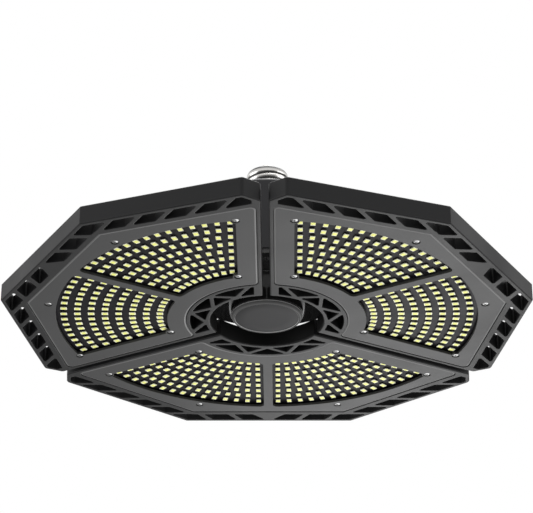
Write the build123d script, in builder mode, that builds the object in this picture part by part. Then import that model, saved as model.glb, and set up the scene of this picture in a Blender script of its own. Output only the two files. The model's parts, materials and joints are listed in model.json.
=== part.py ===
from build123d import *
import os
from math import asin, atan2, cos, degrees, hypot, radians, sin, sqrt

# Screw-in garage ceiling light: a screw base, a round driver housing under it, and three LED panels
# that hinge on the housing and make a nine-sided disc when they are flat. Millimetres, +Z up. The
# origin is on the lamp's axis, at the lower edge of the metal screw shell. A panel is drawn once, with
# its own axis along +Y, and turned into its three places.

# Screw base
thread_pitch = 3.629
thread_crest_radius = 13.05
thread_root_radius = 12.3
skirt_radius = 13.1
skirt_height = 4.0
shell_height = 20.0
shell_shoulder = 3.0
shell_wall = 0.9
shell_mouth_radius = 8.6
insulator_seat = 1.0
insulator_height = 3.6
insulator_tip_radius = 5.4
contact_radius = 4.6
contact_height = 1.9
contact_round_share = 0.8

# Collar between the base and the housing
collar_neck_step = 1.1
collar_neck_height = 4.5
collar_flange_step = 3.3
collar_flange_height = 5.0
collar_slope = 1.6
spigot_reach = 8.0
spigot_clearance = 0.15
stem_radius = 10.0
stem_clearance = 0.2
stem_reach = 9.0
wire_bore_radius = 5.0
nut_height = 4.0
nut_wall = 3.8
nut_sides = 6

# Driver housing and its bottom cap
housing_radius = 50.0
housing_height = 50.5
housing_wall = 2.5
housing_top_thickness = 3.0
housing_top_round = 3.0
cap_thickness = 4.0
cap_round = 3.6
cap_lip_height = 3.0
cap_lip_wall = 1.8
cap_lip_clearance = 0.2
post_radius = 4.0
post_gap = 3.0
cap_screw_radius = 1.5
cap_screw_length = 10.0
cap_screw_head_radius = 3.0
cap_screw_head_height = 2.0
hub_radius = 21.7
hub_wall = 2.2
hub_set_back = 1.8
hub_cover_step = 0.9
hub_cover_thickness = 2.6
hub_bevel_width = 1.9
hub_bevel_height = 1.6
hub_spigot_height = 3.0

# Driver circuit inside the housing
board_clearance = 1.0
board_thickness = 1.6
standoff_radius = 3.0
standoff_height = 8.0
standoff_inset = 5.5
board_screw_radius = 1.25
board_screw_length = 7.0
board_screw_head_radius = 2.3
board_screw_head_height = 1.5
transformer_core_length = 24.0
transformer_core_width = 10.0
transformer_core_height = 17.0
transformer_coil_radius = 8.5
transformer_coil_share = 0.8
transformer_place = (0.0, -18.0)
capacitor_radii = (6.5, 5.0)
capacitor_heights = (22.0, 15.0)
capacitor_places = ((14.0, 12.0), (17.0, -2.0))
choke_ring_radius = 7.5
choke_wire_radius = 2.8
choke_place = (-13.0, 8.0)
lead_radius = 0.9
live_lead_x = 1.5
neutral_lead_x = -2.5
neutral_lead_rise = 3.0
neutral_lead_bend = 2.0

# Panels
circumradius = 155.0
panel_gap = 4.2
panel_depth = 11.3
panel_clearance = 7.2
corner_cut = 10.2
corner_round = 2.5
panel_inner_radius = 33.2
edge_break = 0.6
back_plate = 2.0

# Slotted rim
rim_width = 14.45
rim_wall = 2.2
rim_inner_margin = 3.55
rim_side_margin = 6.8
lattice_depth = 9.6
rim_bar = 3.0
rim_bar_slant = 34.0
rim_bar_pitch = 19.1
rim_slot_round = 1.0
slant_bar_count = 3
rim_centre_bar = 2.4
side_bar = 2.4
side_bar_pitch = 11.35
side_bar_count = 5

# Triangular openings round the hub
ring_inner_margin = 2.4
ring_outer_margin = 2.3
ring_side_margin = 7.0
ring_bar = 2.2
ring_bar_step = 15.6
ring_bar_count = 6
ring_hole_round = 0.7

# Cover plate, its windows and its screws
plate_side_margin = 4.7
plate_inner_radius = 47.4
plate_thickness = 1.6
plate_sunk = 0.1
plate_clearance = 0.3
plate_corner_round = 3.0
plate_bevel_width = 0.9
plate_bevel_drop = 0.3
window_outer_border = 8.2
window_inner_border = 10.8
window_side_border = 11.1
window_round = 3.0
strip_width = 5.7
cover_screw_radius = 1.4
cover_screw_length = 4.6
cover_screw_head_radius = 2.0
cover_screw_head_height = 1.0
cover_screw_sunk = 1.1
cover_screw_clearance = 0.15
cover_recess_clearance = 0.3
cover_tab_radius = 2.9
cover_boss_radius = 2.0
inner_screw_outset = 0.65
inner_screw_inset = 0.1
edge_screw_outset = 4.7

# LED board and chips
ledge_width = 5.0
led_board_thickness = 1.6
led_board_clearance = 0.3
chip_length = 3.5
chip_width = 2.8
chip_height = 0.8
chip_sunk = 2.0
row_pitch = 8.0
outer_row_inset = 4.45
inner_row_inset = 2.4
column_inset = 3.3
last_column_inset = 3.1
outer_row_chip_count = 15
chip_count_step = 2
rows_per_step = 2

# Fins on the panel's back
fin_thickness = 1.6
fin_pitch = 9.0
fin_field_margin = 2.0
pad_margin = 1.5

# Hinge
hinge_rise = 17.5
knuckle_radius = 5.5
knuckle_width = 12.0
knuckle_side_clearance = 0.3
knuckle_back_clearance = 0.5
ear_thickness = 5.0
ear_radius = 6.5
bracket_plate = 2.5
bracket_width = 26.0
bracket_height = 21.0
bracket_pad_proud = 0.4
bracket_pad_depth = 4.0
bracket_screw_inset = 5.0
bracket_screw_drop = 3.6
bracket_screw_radius = 1.9
bracket_screw_length = 6.0
bracket_screw_head_radius = 2.6
bracket_screw_head_height = 1.8
foot_width = 30.0
foot_depth = 24.0
foot_thickness = 3.0
foot_offset = 6.0
hinge_corner_round = 3.0
neck_spread_share = 0.25
foot_screw_side_inset = 4.0
foot_screw_end_inset = 4.5
foot_screw_radius = 1.7
foot_screw_length = 7.0
foot_screw_head_radius = 2.6
foot_screw_head_height = 1.8
bolt_radius = 2.5
bolt_clearance = 0.15
bolt_head_radius = 4.6
bolt_head_height = 3.2
bolt_head_round_share = 0.5
bolt_tail = 1.0
hinge_nut_across_flats = 8.0
hinge_nut_height = 4.4
screw_hole_clearance = 0.1
screw_head_round_share = 0.45

# Panel cables, their grommets and glands
cable_radius = 2.6
cable_exit_drop = 11.5
cable_inner_reach = 7.0
cable_bulge = 11.0
cable_shoulder_rise = 15.7
cable_bends = (19.0, 30.0)
cable_clearance = 0.2
grommet_neck_radius = 4.2
grommet_flange_radius = 6.0
grommet_flange = 2.0
grommet_clearance = 0.2
gland_radius = 6.5
gland_height = 6.0
gland_taper = 2.0
gland_gap = 2.6

# Nine equal sides, three to a panel
panel_count = 3
side_count = 9
side_angle = 360 / side_count
panel_turn = 360 / panel_count
panel_half_angle = panel_turn / 2
panel_turns = {"far": 0, "left": panel_turn, "right": 2 * panel_turn}
first_panel_angle = 90.0
first_gap_angle = first_panel_angle - panel_half_angle
apothem = circumradius * cos(radians(side_angle / 2))
half_gap = panel_gap / 2

# Round sizes that follow one another
collar_neck_radius = skirt_radius + collar_neck_step
collar_flange_radius = collar_neck_radius + collar_flange_step
nut_across_flats = 2 * (stem_radius + stem_clearance + nut_wall)
post_circle = housing_radius - housing_wall - post_gap - post_radius
board_radius = post_circle - post_radius - board_clearance
standoff_circle = board_radius - standoff_inset
hub_cover_radius = hub_radius - hub_cover_step
hub_spigot_radius = hub_radius - hub_wall - spigot_clearance
ring_hole_inner_radius = panel_inner_radius + ring_inner_margin
ring_hole_outer_radius = plate_inner_radius - ring_outer_margin

# Edges of the cover plate, the windows, the LED rows and the LED board
plate_edge = apothem - rim_width
window_outer_radius = plate_edge - window_outer_border
window_inner_radius = plate_inner_radius + window_inner_border
window_side_margin = plate_side_margin + window_side_border
outer_row_radius = window_outer_radius - outer_row_inset
inner_row_limit = window_inner_radius + inner_row_inset
row_count = 1 + int((outer_row_radius - inner_row_limit) / row_pitch)
first_column = strip_width / 2 + column_inset
last_column_margin = window_side_margin + last_column_inset
board_edge = plate_edge - ledge_width
board_side = plate_side_margin + ledge_width
board_inner = plate_inner_radius + ledge_width
fin_count = 1 + 2 * int(circumradius / fin_pitch)

# Heights, from the screw shell down to the cover plates
housing_top = -collar_neck_height - collar_flange_height
housing_bottom = housing_top - housing_height
cap_top = housing_bottom + cap_thickness
housing_ceiling = housing_top - housing_top_thickness
panel_top = housing_bottom - panel_clearance
rim_level = panel_top - panel_depth
plate_face = rim_level + plate_sunk
plate_back = plate_face + plate_thickness
cover_screw_seat = plate_face + cover_screw_sunk
chip_face = plate_face + chip_sunk
led_board_face = chip_face + chip_height
led_board_back = led_board_face + led_board_thickness
back_plate_top = led_board_back + back_plate
hub_face = rim_level + hub_set_back
hub_seat = hub_face + hub_cover_thickness
board_bottom = cap_top + standoff_height
board_top = board_bottom + board_thickness
cable_exit = housing_top - cable_exit_drop

# Hinge places, on a panel's own axis
bracket_seat = housing_radius + bracket_pad_proud
bracket_face = bracket_seat + bracket_plate
pad_middle = bracket_seat - bracket_pad_depth / 2
hinge_y = bracket_face + knuckle_back_clearance + knuckle_radius
hinge_z = panel_top + hinge_rise
bracket_bottom = hinge_z - ear_radius
bracket_top = bracket_bottom + bracket_height
bracket_screw_z = bracket_top - bracket_screw_drop
bracket_screw_x = bracket_width / 2 - bracket_screw_inset
bracket_screw_points = [(-bracket_screw_x, bracket_screw_z), (bracket_screw_x, bracket_screw_z)]
foot_y = hinge_y + foot_offset
foot_top = panel_top + foot_thickness
ear_inner_x = knuckle_width / 2 + knuckle_side_clearance
ear_outer_x = ear_inner_x + ear_thickness
bolt_hole_radius = bolt_radius + bolt_clearance
cable_hole_radius = cable_radius + cable_clearance
cable_entry_y = foot_y + foot_depth / 2 + gland_gap + gland_radius

os.makedirs("parts", exist_ok=True)


def polar_point(radius, angle):
    """A point at an angle in degrees from +Y, turning towards +X."""
    return (radius * sin(radians(angle)), radius * cos(radians(angle)))


def side_point(along, margin):
    """A point along a panel's right-hand side line, set in from it by margin."""
    x_out, y_out = polar_point(along, panel_half_angle)
    x_in, y_in = polar_point(margin, panel_half_angle - 90)
    return (x_out + x_in, y_out + y_in)


def mirrored(point):
    """The point's twin across a panel's axis."""
    return (-point[0], point[1])


def downward(height):
    """A plane at a height that faces down."""
    return Plane(origin=(0, 0, height), x_dir=(1, 0, 0), z_dir=(0, 0, -1))


def from_below(points):
    """Points as a plane that faces down counts them, with its own Y reversed."""
    return [(x, -y) for x, y in points]


def sector(edge_distance, side_margin, inner_radius):
    """One third of the nonagon: three straight edges, two side lines and an inner arc."""
    vertex = polar_point(edge_distance / cos(radians(side_angle / 2)), side_angle / 2)
    tilt = radians(panel_half_angle - side_angle)
    corner = side_point((edge_distance - side_margin * sin(tilt)) / cos(tilt), side_margin)
    inner = side_point(sqrt(inner_radius**2 - side_margin**2), side_margin)
    with BuildSketch() as outline:
        with BuildLine():
            Polyline(mirrored(inner), mirrored(corner), mirrored(vertex), vertex, corner, inner)
            ThreePointArc(inner, (0, inner_radius), mirrored(inner))
        make_face()
    return outline.sketch


def rounded_sector(edge_distance, side_margin, inner_radius, corner_radius):
    """A sector with its four side corners rounded."""
    with BuildSketch() as outline:
        add(sector(edge_distance, side_margin, inner_radius))
        by_width = outline.vertices().sort_by(Axis.X)
        lowest = outline.vertices().sort_by(Axis.Y)[:2]
        fillet([by_width[0], by_width[-1], *lowest], radius=corner_radius)
    return outline.sketch


def window(side):
    """An LED window on one side of the panel's axis, +1 for the right and -1 for the left."""
    strip = strip_width / 2
    outer = side_point(sqrt(window_outer_radius**2 - window_side_margin**2), window_side_margin)
    inner = side_point(sqrt(window_inner_radius**2 - window_side_margin**2), window_side_margin)
    outer_strip = (strip, sqrt(window_outer_radius**2 - strip**2))
    inner_strip = (strip, sqrt(window_inner_radius**2 - strip**2))
    with BuildSketch() as outline:
        with BuildLine():
            RadiusArc(outer_strip, outer, window_outer_radius)
            Line(outer, inner)
            RadiusArc(inner, inner_strip, -window_inner_radius)
            Line(inner_strip, outer_strip)
        make_face()
        fillet(outline.vertices(), radius=window_round)
        if side < 0:
            mirror(about=Plane.YZ, mode=Mode.REPLACE)
    return outline.sketch


def pan_screw(plane, points, shank_radius, shank_length, head_radius, head_height):
    """Pan head screws: heads on the plane, rising along its normal, and shanks below it."""
    with BuildPart() as screws:
        with BuildSketch(plane):
            with Locations(*points):
                Circle(head_radius)
        extrude(amount=head_height)
        top_edges = screws.faces().filter_by(GeomType.PLANE).sort_by(Axis(plane.origin, plane.z_dir))
        fillet(top_edges[-len(points):].edges(), radius=screw_head_round_share * head_height)
        with BuildSketch(plane):
            with Locations(*points):
                Circle(shank_radius)
        extrude(amount=-shank_length)
    return screws.part


def keep(part, name):
    """Label a finished piece and write it."""
    part.label = name
    export_step(part, f"parts/{name}.step")


def keep_on_each_panel(part, name):
    """Write a piece that was drawn on the +Y axis once for each panel."""
    for side, turn in panel_turns.items():
        keep(part.rotate(Axis.Z, turn), f"{side}_{name}")


# Screw shell: skirt, thread ridges a pitch apart and a rounded shoulder, with a plain bore
shell_bore_radius = thread_root_radius - shell_wall
shoulder_start = shell_height - shell_shoulder
thread_mean_radius = (thread_crest_radius + thread_root_radius) / 2
half_wave = thread_pitch / 2
half_wave_count = int((shoulder_start - skirt_height) / half_wave)
thread_end = skirt_height + half_wave_count * half_wave
shoulder_end = (shell_mouth_radius + insulator_seat, shell_height)
with BuildPart() as screw_shell:
    with BuildSketch(Plane.XZ):
        with BuildLine():
            Polyline(
                (shell_bore_radius, 0),
                (skirt_radius, 0),
                (skirt_radius, skirt_height),
                (thread_mean_radius, skirt_height),
            )
            for k in range(half_wave_count):
                low = skirt_height + k * half_wave
                turning_radius = thread_crest_radius if k % 2 else thread_root_radius
                ThreePointArc((thread_mean_radius, low), (turning_radius, low + half_wave / 2),
                              (thread_mean_radius, low + half_wave))
            TangentArc((thread_mean_radius, thread_end), shoulder_end, tangent=(0, 1))
            Polyline(
                shoulder_end,
                (shell_mouth_radius, shell_height),
                (shell_mouth_radius, shell_height - shell_wall),
                (shell_bore_radius, shoulder_start - shell_wall),
                (shell_bore_radius, 0),
            )
        make_face()
    revolve(axis=Axis.Z)
keep(screw_shell.part, "screw_shell")

# Insulator: a cone on the shell's shoulder with a plug in its mouth
insulator_top = shell_height + insulator_height
with BuildPart() as base_insulator:
    with BuildSketch(Plane.XZ):
        with BuildLine():
            Polyline(
                (0, shell_height - shell_wall),
                (shell_mouth_radius - spigot_clearance, shell_height - shell_wall),
                (shell_mouth_radius - spigot_clearance, shell_height),
                (shell_mouth_radius + insulator_seat, shell_height),
                (insulator_tip_radius, insulator_top),
                (0, insulator_top),
                close=True,
            )
        make_face()
    revolve(axis=Axis.Z)
    with BuildSketch(Plane.XY.offset(insulator_top)):
        with Locations((live_lead_x, 0)):
            Circle(lead_radius + spigot_clearance)
    extrude(amount=-insulator_height - shell_wall, mode=Mode.SUBTRACT)
keep(base_insulator.part, "base_insulator")

# Centre contact: a domed button
with BuildPart() as centre_contact:
    with BuildSketch(Plane.XY.offset(insulator_top)):
        Circle(contact_radius)
    extrude(amount=contact_height)
    fillet(centre_contact.edges().group_by(Axis.Z)[-1], radius=contact_round_share * contact_height)
keep(centre_contact.part, "centre_contact")

# Collar: spigot in the shell, neck, sloped flange, and a stem through the housing top
with BuildPart() as base_collar:
    with BuildSketch(Plane.XZ):
        with BuildLine():
            Polyline(
                (wire_bore_radius, spigot_reach),
                (shell_bore_radius - spigot_clearance, spigot_reach),
                (shell_bore_radius - spigot_clearance, 0),
                (collar_neck_radius, 0),
                (collar_neck_radius, -collar_neck_height),
                (collar_flange_radius - collar_slope, -collar_neck_height),
                (collar_flange_radius, -collar_neck_height - collar_slope),
                (collar_flange_radius, housing_top),
                (stem_radius, housing_top),
                (stem_radius, housing_top - stem_reach),
                (wire_bore_radius, housing_top - stem_reach),
                close=True,
            )
        make_face()
    revolve(axis=Axis.Z)
keep(base_collar.part, "base_collar")

# Ring nut on the stem, under the housing top
with BuildPart() as collar_nut:
    with BuildSketch(Plane.XY.offset(housing_ceiling)):
        RegularPolygon(nut_across_flats / 2, nut_sides, major_radius=False)
        Circle(stem_radius + stem_clearance, mode=Mode.SUBTRACT)
    extrude(amount=-nut_height)
keep(collar_nut.part, "collar_nut")

# Driver housing: a round cup, open below
with BuildPart() as driver_housing:
    with BuildSketch(Plane.XY.offset(cap_top)):
        Circle(housing_radius)
    extrude(amount=housing_top - cap_top)
    fillet(driver_housing.edges().group_by(Axis.Z)[-1], radius=housing_top_round)
    with BuildSketch(Plane.XY.offset(cap_top)):
        Circle(housing_radius - housing_wall)
    extrude(amount=housing_ceiling - cap_top, mode=Mode.SUBTRACT)
    # Posts for the cap screws, between the panels
    with BuildSketch(Plane.XY.offset(cap_top)):
        with PolarLocations(post_circle, panel_count, start_angle=first_gap_angle):
            Circle(post_radius)
    extrude(amount=housing_ceiling - cap_top)
    # Flat pads for the hinge brackets
    with BuildSketch(Plane.XY.offset(cap_top)):
        with PolarLocations(pad_middle, panel_count, start_angle=first_panel_angle):
            Rectangle(bracket_pad_depth, bracket_width)
    extrude(amount=bracket_top - cap_top)
    # Holes: the collar's stem, the cap screws, the bracket screws and the cables
    with BuildSketch(Plane.XY.offset(housing_top)):
        Circle(stem_radius + stem_clearance)
    extrude(amount=-housing_top_thickness, mode=Mode.SUBTRACT)
    with BuildSketch(Plane.XY.offset(cap_top)):
        with PolarLocations(post_circle, panel_count, start_angle=first_gap_angle):
            Circle(cap_screw_radius + screw_hole_clearance)
    extrude(amount=cap_screw_length, mode=Mode.SUBTRACT)
    for turn in panel_turns.values():
        outward = Plane.XZ.rotated((0, 0, turn))
        with BuildSketch(outward):
            with Locations((0, cable_exit)):
                Circle(grommet_neck_radius + grommet_clearance)
        extrude(amount=-housing_radius, mode=Mode.SUBTRACT)
        with BuildSketch(outward):
            with Locations(*bracket_screw_points):
                Circle(bracket_screw_radius + screw_hole_clearance)
        extrude(amount=-bracket_seat, mode=Mode.SUBTRACT)
keep(driver_housing.part, "driver_housing")

# Bottom cap: round-edged plate with a lip in the housing, the hub's tube and the board's standoffs
lip_radius = housing_radius - housing_wall - cap_lip_clearance
with BuildPart() as bottom_cap:
    with BuildSketch(Plane.XY.offset(housing_bottom)):
        Circle(housing_radius)
    extrude(amount=cap_thickness)
    fillet(bottom_cap.edges().group_by(Axis.Z)[0], radius=cap_round)
    with BuildSketch(Plane.XY.offset(cap_top)):
        Circle(lip_radius)
        Circle(lip_radius - cap_lip_wall, mode=Mode.SUBTRACT)
        with PolarLocations(pad_middle, panel_count, start_angle=first_panel_angle):
            Rectangle(bracket_pad_depth + 2 * cap_lip_clearance, bracket_width + 2 * cap_lip_clearance,
                      mode=Mode.SUBTRACT)
    extrude(amount=cap_lip_height)
    with BuildSketch(Plane.XY.offset(housing_bottom)):
        Circle(hub_radius)
    extrude(amount=hub_seat - housing_bottom)
    with BuildSketch(Plane.XY.offset(cap_top)):
        Circle(hub_radius - hub_wall)
    extrude(amount=hub_seat - cap_top, mode=Mode.SUBTRACT)
    with BuildSketch(Plane.XY.offset(cap_top)):
        with PolarLocations(standoff_circle, panel_count, start_angle=first_panel_angle):
            Circle(standoff_radius)
    extrude(amount=standoff_height)
    with BuildSketch(Plane.XY.offset(board_bottom)):
        with PolarLocations(standoff_circle, panel_count, start_angle=first_panel_angle):
            Circle(board_screw_radius + screw_hole_clearance)
    extrude(amount=-board_screw_length, mode=Mode.SUBTRACT)
    with BuildSketch(Plane.XY.offset(housing_bottom)):
        with PolarLocations(post_circle, panel_count, start_angle=first_gap_angle):
            Circle(cap_screw_radius + screw_hole_clearance)
    extrude(amount=cap_thickness, mode=Mode.SUBTRACT)
    with BuildSketch(Plane.XY.offset(housing_bottom)):
        with PolarLocations(post_circle, panel_count, start_angle=first_gap_angle):
            Circle(cap_screw_head_radius + screw_hole_clearance)
    extrude(amount=cap_screw_head_height, mode=Mode.SUBTRACT)
keep(bottom_cap.part, "bottom_cap")

# Hub cover: a bevelled disc on the tube's end, with a spigot in the tube
with BuildPart() as hub_cover:
    with BuildSketch(Plane.XZ):
        with BuildLine():
            Polyline(
                (0, hub_face),
                (hub_cover_radius - hub_bevel_width, hub_face),
                (hub_cover_radius, hub_face + hub_bevel_height),
                (hub_cover_radius, hub_seat),
                (hub_spigot_radius, hub_seat),
                (hub_spigot_radius, hub_seat + hub_spigot_height),
                (0, hub_seat + hub_spigot_height),
                close=True,
            )
        make_face()
    revolve(axis=Axis.Z)
keep(hub_cover.part, "hub_cover")

# Cap screws, heads down in their counterbores
post_points = [polar_point(post_circle, panel_half_angle + turn) for turn in panel_turns.values()]
bottom_cap_screws = pan_screw(downward(housing_bottom + cap_screw_head_height), from_below(post_points),
                              cap_screw_radius, cap_screw_length, cap_screw_head_radius,
                              cap_screw_head_height)
keep(bottom_cap_screws, "bottom_cap_screws")

# Driver board with its screws
standoff_points = [polar_point(standoff_circle, turn) for turn in panel_turns.values()]
with BuildPart() as driver_board:
    with BuildSketch(Plane.XY.offset(board_bottom)):
        Circle(board_radius)
        with Locations(*standoff_points):
            Circle(board_screw_radius + screw_hole_clearance, mode=Mode.SUBTRACT)
    extrude(amount=board_thickness)
keep(driver_board.part, "driver_board")
board_screws = pan_screw(Plane.XY.offset(board_top), standoff_points, board_screw_radius,
                         board_screw_length, board_screw_head_radius, board_screw_head_height)
keep(board_screws, "board_screws")

# Transformer: a core block with its winding across it
with BuildPart() as driver_transformer:
    with BuildSketch(Plane.XY.offset(board_top)):
        with Locations(transformer_place):
            Rectangle(transformer_core_length, transformer_core_width)
    extrude(amount=transformer_core_height)
    with BuildSketch(Plane.XY.offset(board_top)):
        with Locations(transformer_place):
            Circle(transformer_coil_radius)
    extrude(amount=transformer_coil_share * transformer_core_height)
keep(driver_transformer.part, "driver_transformer")

# Capacitors: two cans
with BuildPart() as driver_capacitors:
    for place, radius, height in zip(capacitor_places, capacitor_radii, capacitor_heights):
        with BuildSketch(Plane.XY.offset(board_top)):
            with Locations(place):
                Circle(radius)
        extrude(amount=height)
keep(driver_capacitors.part, "driver_capacitors")

# Choke: a wound ring that lies on the board
with BuildPart() as driver_choke:
    with BuildSketch(Plane.XZ.offset(-choke_place[1])):
        with Locations((choke_place[0] + choke_ring_radius, board_top + choke_wire_radius)):
            Circle(choke_wire_radius)
    revolve(axis=Axis((*choke_place, 0), (0, 0, 1)))
keep(driver_choke.part, "driver_choke")

# Supply leads: one to the centre contact, one bent out to the shell
with BuildPart() as supply_leads:
    with BuildSketch(Plane.XY.offset(board_top)):
        with Locations((live_lead_x, 0)):
            Circle(lead_radius)
    extrude(amount=insulator_top - board_top)
    with BuildLine() as neutral_path:
        neutral_top = spigot_reach + neutral_lead_rise
        neutral_end = -sqrt(shell_bore_radius**2 - lead_radius**2)
        FilletPolyline((neutral_lead_x, 0, board_top), (neutral_lead_x, 0, neutral_top),
                       (neutral_end, 0, neutral_top), radius=neutral_lead_bend)
    with BuildSketch(Plane.XY.offset(board_top)):
        with Locations((neutral_lead_x, 0)):
            Circle(lead_radius)
    sweep(path=neutral_path.line)
keep(supply_leads.part, "supply_leads")

# Outline of a panel frame, with its corners cut and rounded beside the gaps
with BuildSketch() as frame_outline:
    add(sector(apothem, half_gap, panel_inner_radius))
    by_width = frame_outline.vertices().sort_by(Axis.X)
    chamfer([by_width[0], by_width[-1]], length=corner_cut)
    by_width = frame_outline.vertices().sort_by(Axis.X)
    fillet([*by_width[:2], *by_width[-2:]], radius=corner_round)

# Rim band between the outer wall and the cover plate, and the slots that its bars leave open
band_inner = apothem - rim_width + rim_inner_margin
band_outer = apothem - rim_wall
with BuildSketch() as rim_band:
    offset(frame_outline.sketch, amount=-rim_wall)
    add(sector(apothem, rim_side_margin, panel_inner_radius), mode=Mode.INTERSECT)
    RegularPolygon(band_inner, side_count, major_radius=False, rotation=first_gap_angle,
                   mode=Mode.SUBTRACT)

with BuildSketch() as rim_slots:
    add(rim_band.sketch)
    band_middle = (band_inner + band_outer) / 2
    for side in (-1, 1):
        # Slanted bars on the middle edge, the first pair closed into a web
        for step in range(slant_bar_count):
            bar_x = rim_centre_bar + step * rim_bar_pitch
            with Locations(Location((side * bar_x, band_middle, 0), (0, 0, side * rim_bar_slant))):
                Rectangle(rim_bar, 2 * rim_width, mode=Mode.SUBTRACT)
        # Bars across the panel's axis on the side edges
        for step in range(side_bar_count):
            bar_y = band_inner - rim_bar / 2 - step * side_bar_pitch
            with Locations((side * circumradius / 2, bar_y)):
                Rectangle(circumradius, side_bar, mode=Mode.SUBTRACT)
    web_half_width = rim_centre_bar + rim_width
    web_bottom = band_inner - rim_width / 2
    with BuildLine():
        Polyline((-web_half_width, web_bottom), (web_half_width, web_bottom), (0, apothem), close=True)
    make_face(mode=Mode.SUBTRACT)
    offset(amount=-rim_slot_round, kind=Kind.INTERSECTION)
    offset(amount=rim_slot_round, kind=Kind.ARC)

# Triangular openings in the ring round the hub, between zigzag bars
with BuildSketch() as ring_holes:
    Circle(ring_hole_outer_radius)
    Circle(ring_hole_inner_radius, mode=Mode.SUBTRACT)
    add(sector(apothem, ring_side_margin, panel_inner_radius), mode=Mode.INTERSECT)
    knots = []
    for k in range(-(ring_bar_count // 2), ring_bar_count // 2 + 1):
        knot_radius = ring_hole_outer_radius if k % 2 else ring_hole_inner_radius
        knots.append(polar_point(knot_radius, k * ring_bar_step))
    for start, end in zip(knots, knots[1:]):
        run = (end[0] - start[0], end[1] - start[1])
        middle = ((start[0] + end[0]) / 2, (start[1] + end[1]) / 2, 0)
        with Locations(Location(middle, (0, 0, degrees(atan2(run[1], run[0]))))):
            Rectangle(hypot(*run) + 2 * ring_bar, ring_bar, mode=Mode.SUBTRACT)
    offset(amount=-ring_hole_round, kind=Kind.INTERSECTION)
    offset(amount=ring_hole_round, kind=Kind.ARC)

# Places of the cover screws: at the windows' corners and behind the nonagon's corners
inner_screw_margin = window_side_margin - inner_screw_inset
inner_screw_radius = window_inner_radius + inner_screw_outset
inner_screw = side_point(sqrt(inner_screw_radius**2 - inner_screw_margin**2), inner_screw_margin)
side_screw = side_point(sqrt(window_outer_radius**2 - window_side_margin**2), window_side_margin)
edge_screw = polar_point(window_outer_radius + edge_screw_outset, side_angle / 2)
cover_screw_points = []
for point in (inner_screw, side_screw, edge_screw):
    cover_screw_points += [point, mirrored(point)]

# Places of the hinge foot's screws
foot_screw_points = []
foot_screw_x = foot_width / 2 - foot_screw_side_inset
foot_screw_reach = foot_depth / 2 - foot_screw_end_inset
for x in (-foot_screw_x, foot_screw_x):
    for y in (foot_y - foot_screw_reach, foot_y + foot_screw_reach):
        foot_screw_points.append((x, y))

# Panel frame
with BuildPart() as panel_frame:
    with BuildSketch(Plane.XY.offset(rim_level)):
        add(frame_outline.sketch)
    extrude(amount=panel_depth)
    chamfer(panel_frame.edges().group_by(Axis.Z)[0], length=edge_break)
    chamfer(panel_frame.edges().group_by(Axis.Z)[-1], length=edge_break)
    # Pocket for the cover plate, then a deeper one for the LED board round the screw bosses
    with BuildSketch(Plane.XY.offset(rim_level)):
        add(rounded_sector(plate_edge + plate_clearance, plate_side_margin - plate_clearance,
                           plate_inner_radius - plate_clearance, plate_corner_round + plate_clearance))
    extrude(amount=plate_back - rim_level, mode=Mode.SUBTRACT)
    with BuildSketch(Plane.XY.offset(plate_back)):
        add(sector(board_edge + led_board_clearance, board_side - led_board_clearance,
                   board_inner - led_board_clearance))
        with Locations(*cover_screw_points):
            Circle(cover_boss_radius, mode=Mode.SUBTRACT)
    extrude(amount=led_board_back - plate_back, mode=Mode.SUBTRACT)
    # Slots through the rim, whose bars are lower than the outer wall
    with BuildSketch(Plane.XY.offset(rim_level)):
        add(rim_slots.sketch)
    extrude(amount=panel_depth, mode=Mode.SUBTRACT)
    with BuildSketch(Plane.XY.offset(rim_level + lattice_depth)):
        add(rim_band.sketch)
    extrude(amount=panel_depth - lattice_depth, mode=Mode.SUBTRACT)
    with BuildSketch(Plane.XY.offset(rim_level)):
        add(ring_holes.sketch)
    extrude(amount=panel_depth, mode=Mode.SUBTRACT)
    # Channels between the fins, clear of the hinge foot and the gland
    with BuildSketch(Plane.XY.offset(back_plate_top)):
        add(sector(plate_edge - fin_field_margin, plate_side_margin, plate_inner_radius + fin_field_margin))
        with Locations((0, circumradius / 2)):
            with GridLocations(fin_pitch, 1, fin_count, 1):
                Rectangle(fin_thickness, circumradius, mode=Mode.SUBTRACT)
        with Locations((0, foot_y)):
            Rectangle(foot_width + 2 * pad_margin, foot_depth + 2 * pad_margin, mode=Mode.SUBTRACT)
        with Locations((0, cable_entry_y)):
            Circle(gland_radius + pad_margin, mode=Mode.SUBTRACT)
    extrude(amount=panel_top - back_plate_top, mode=Mode.SUBTRACT)
    # Holes for the cover screws, the foot screws and the cable
    with BuildSketch(Plane.XY.offset(cover_screw_seat)):
        with Locations(*cover_screw_points):
            Circle(cover_screw_radius + screw_hole_clearance)
    extrude(amount=cover_screw_length, mode=Mode.SUBTRACT)
    with BuildSketch(Plane.XY.offset(foot_top)):
        with Locations(*foot_screw_points):
            Circle(foot_screw_radius + screw_hole_clearance)
    extrude(amount=-foot_screw_length, mode=Mode.SUBTRACT)
    with BuildSketch(Plane.XY.offset(led_board_back)):
        with Locations((0, cable_entry_y)):
            Circle(cable_hole_radius)
    extrude(amount=panel_top - led_board_back, mode=Mode.SUBTRACT)
keep_on_each_panel(panel_frame.part, "panel_frame")

# LED board
with BuildPart() as led_board:
    with BuildSketch(Plane.XY.offset(led_board_face)):
        add(sector(board_edge, board_side, board_inner))
        with Locations(*cover_screw_points):
            Circle(cover_boss_radius + led_board_clearance, mode=Mode.SUBTRACT)
    extrude(amount=led_board_thickness)
keep_on_each_panel(led_board.part, "led_board")

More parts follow.
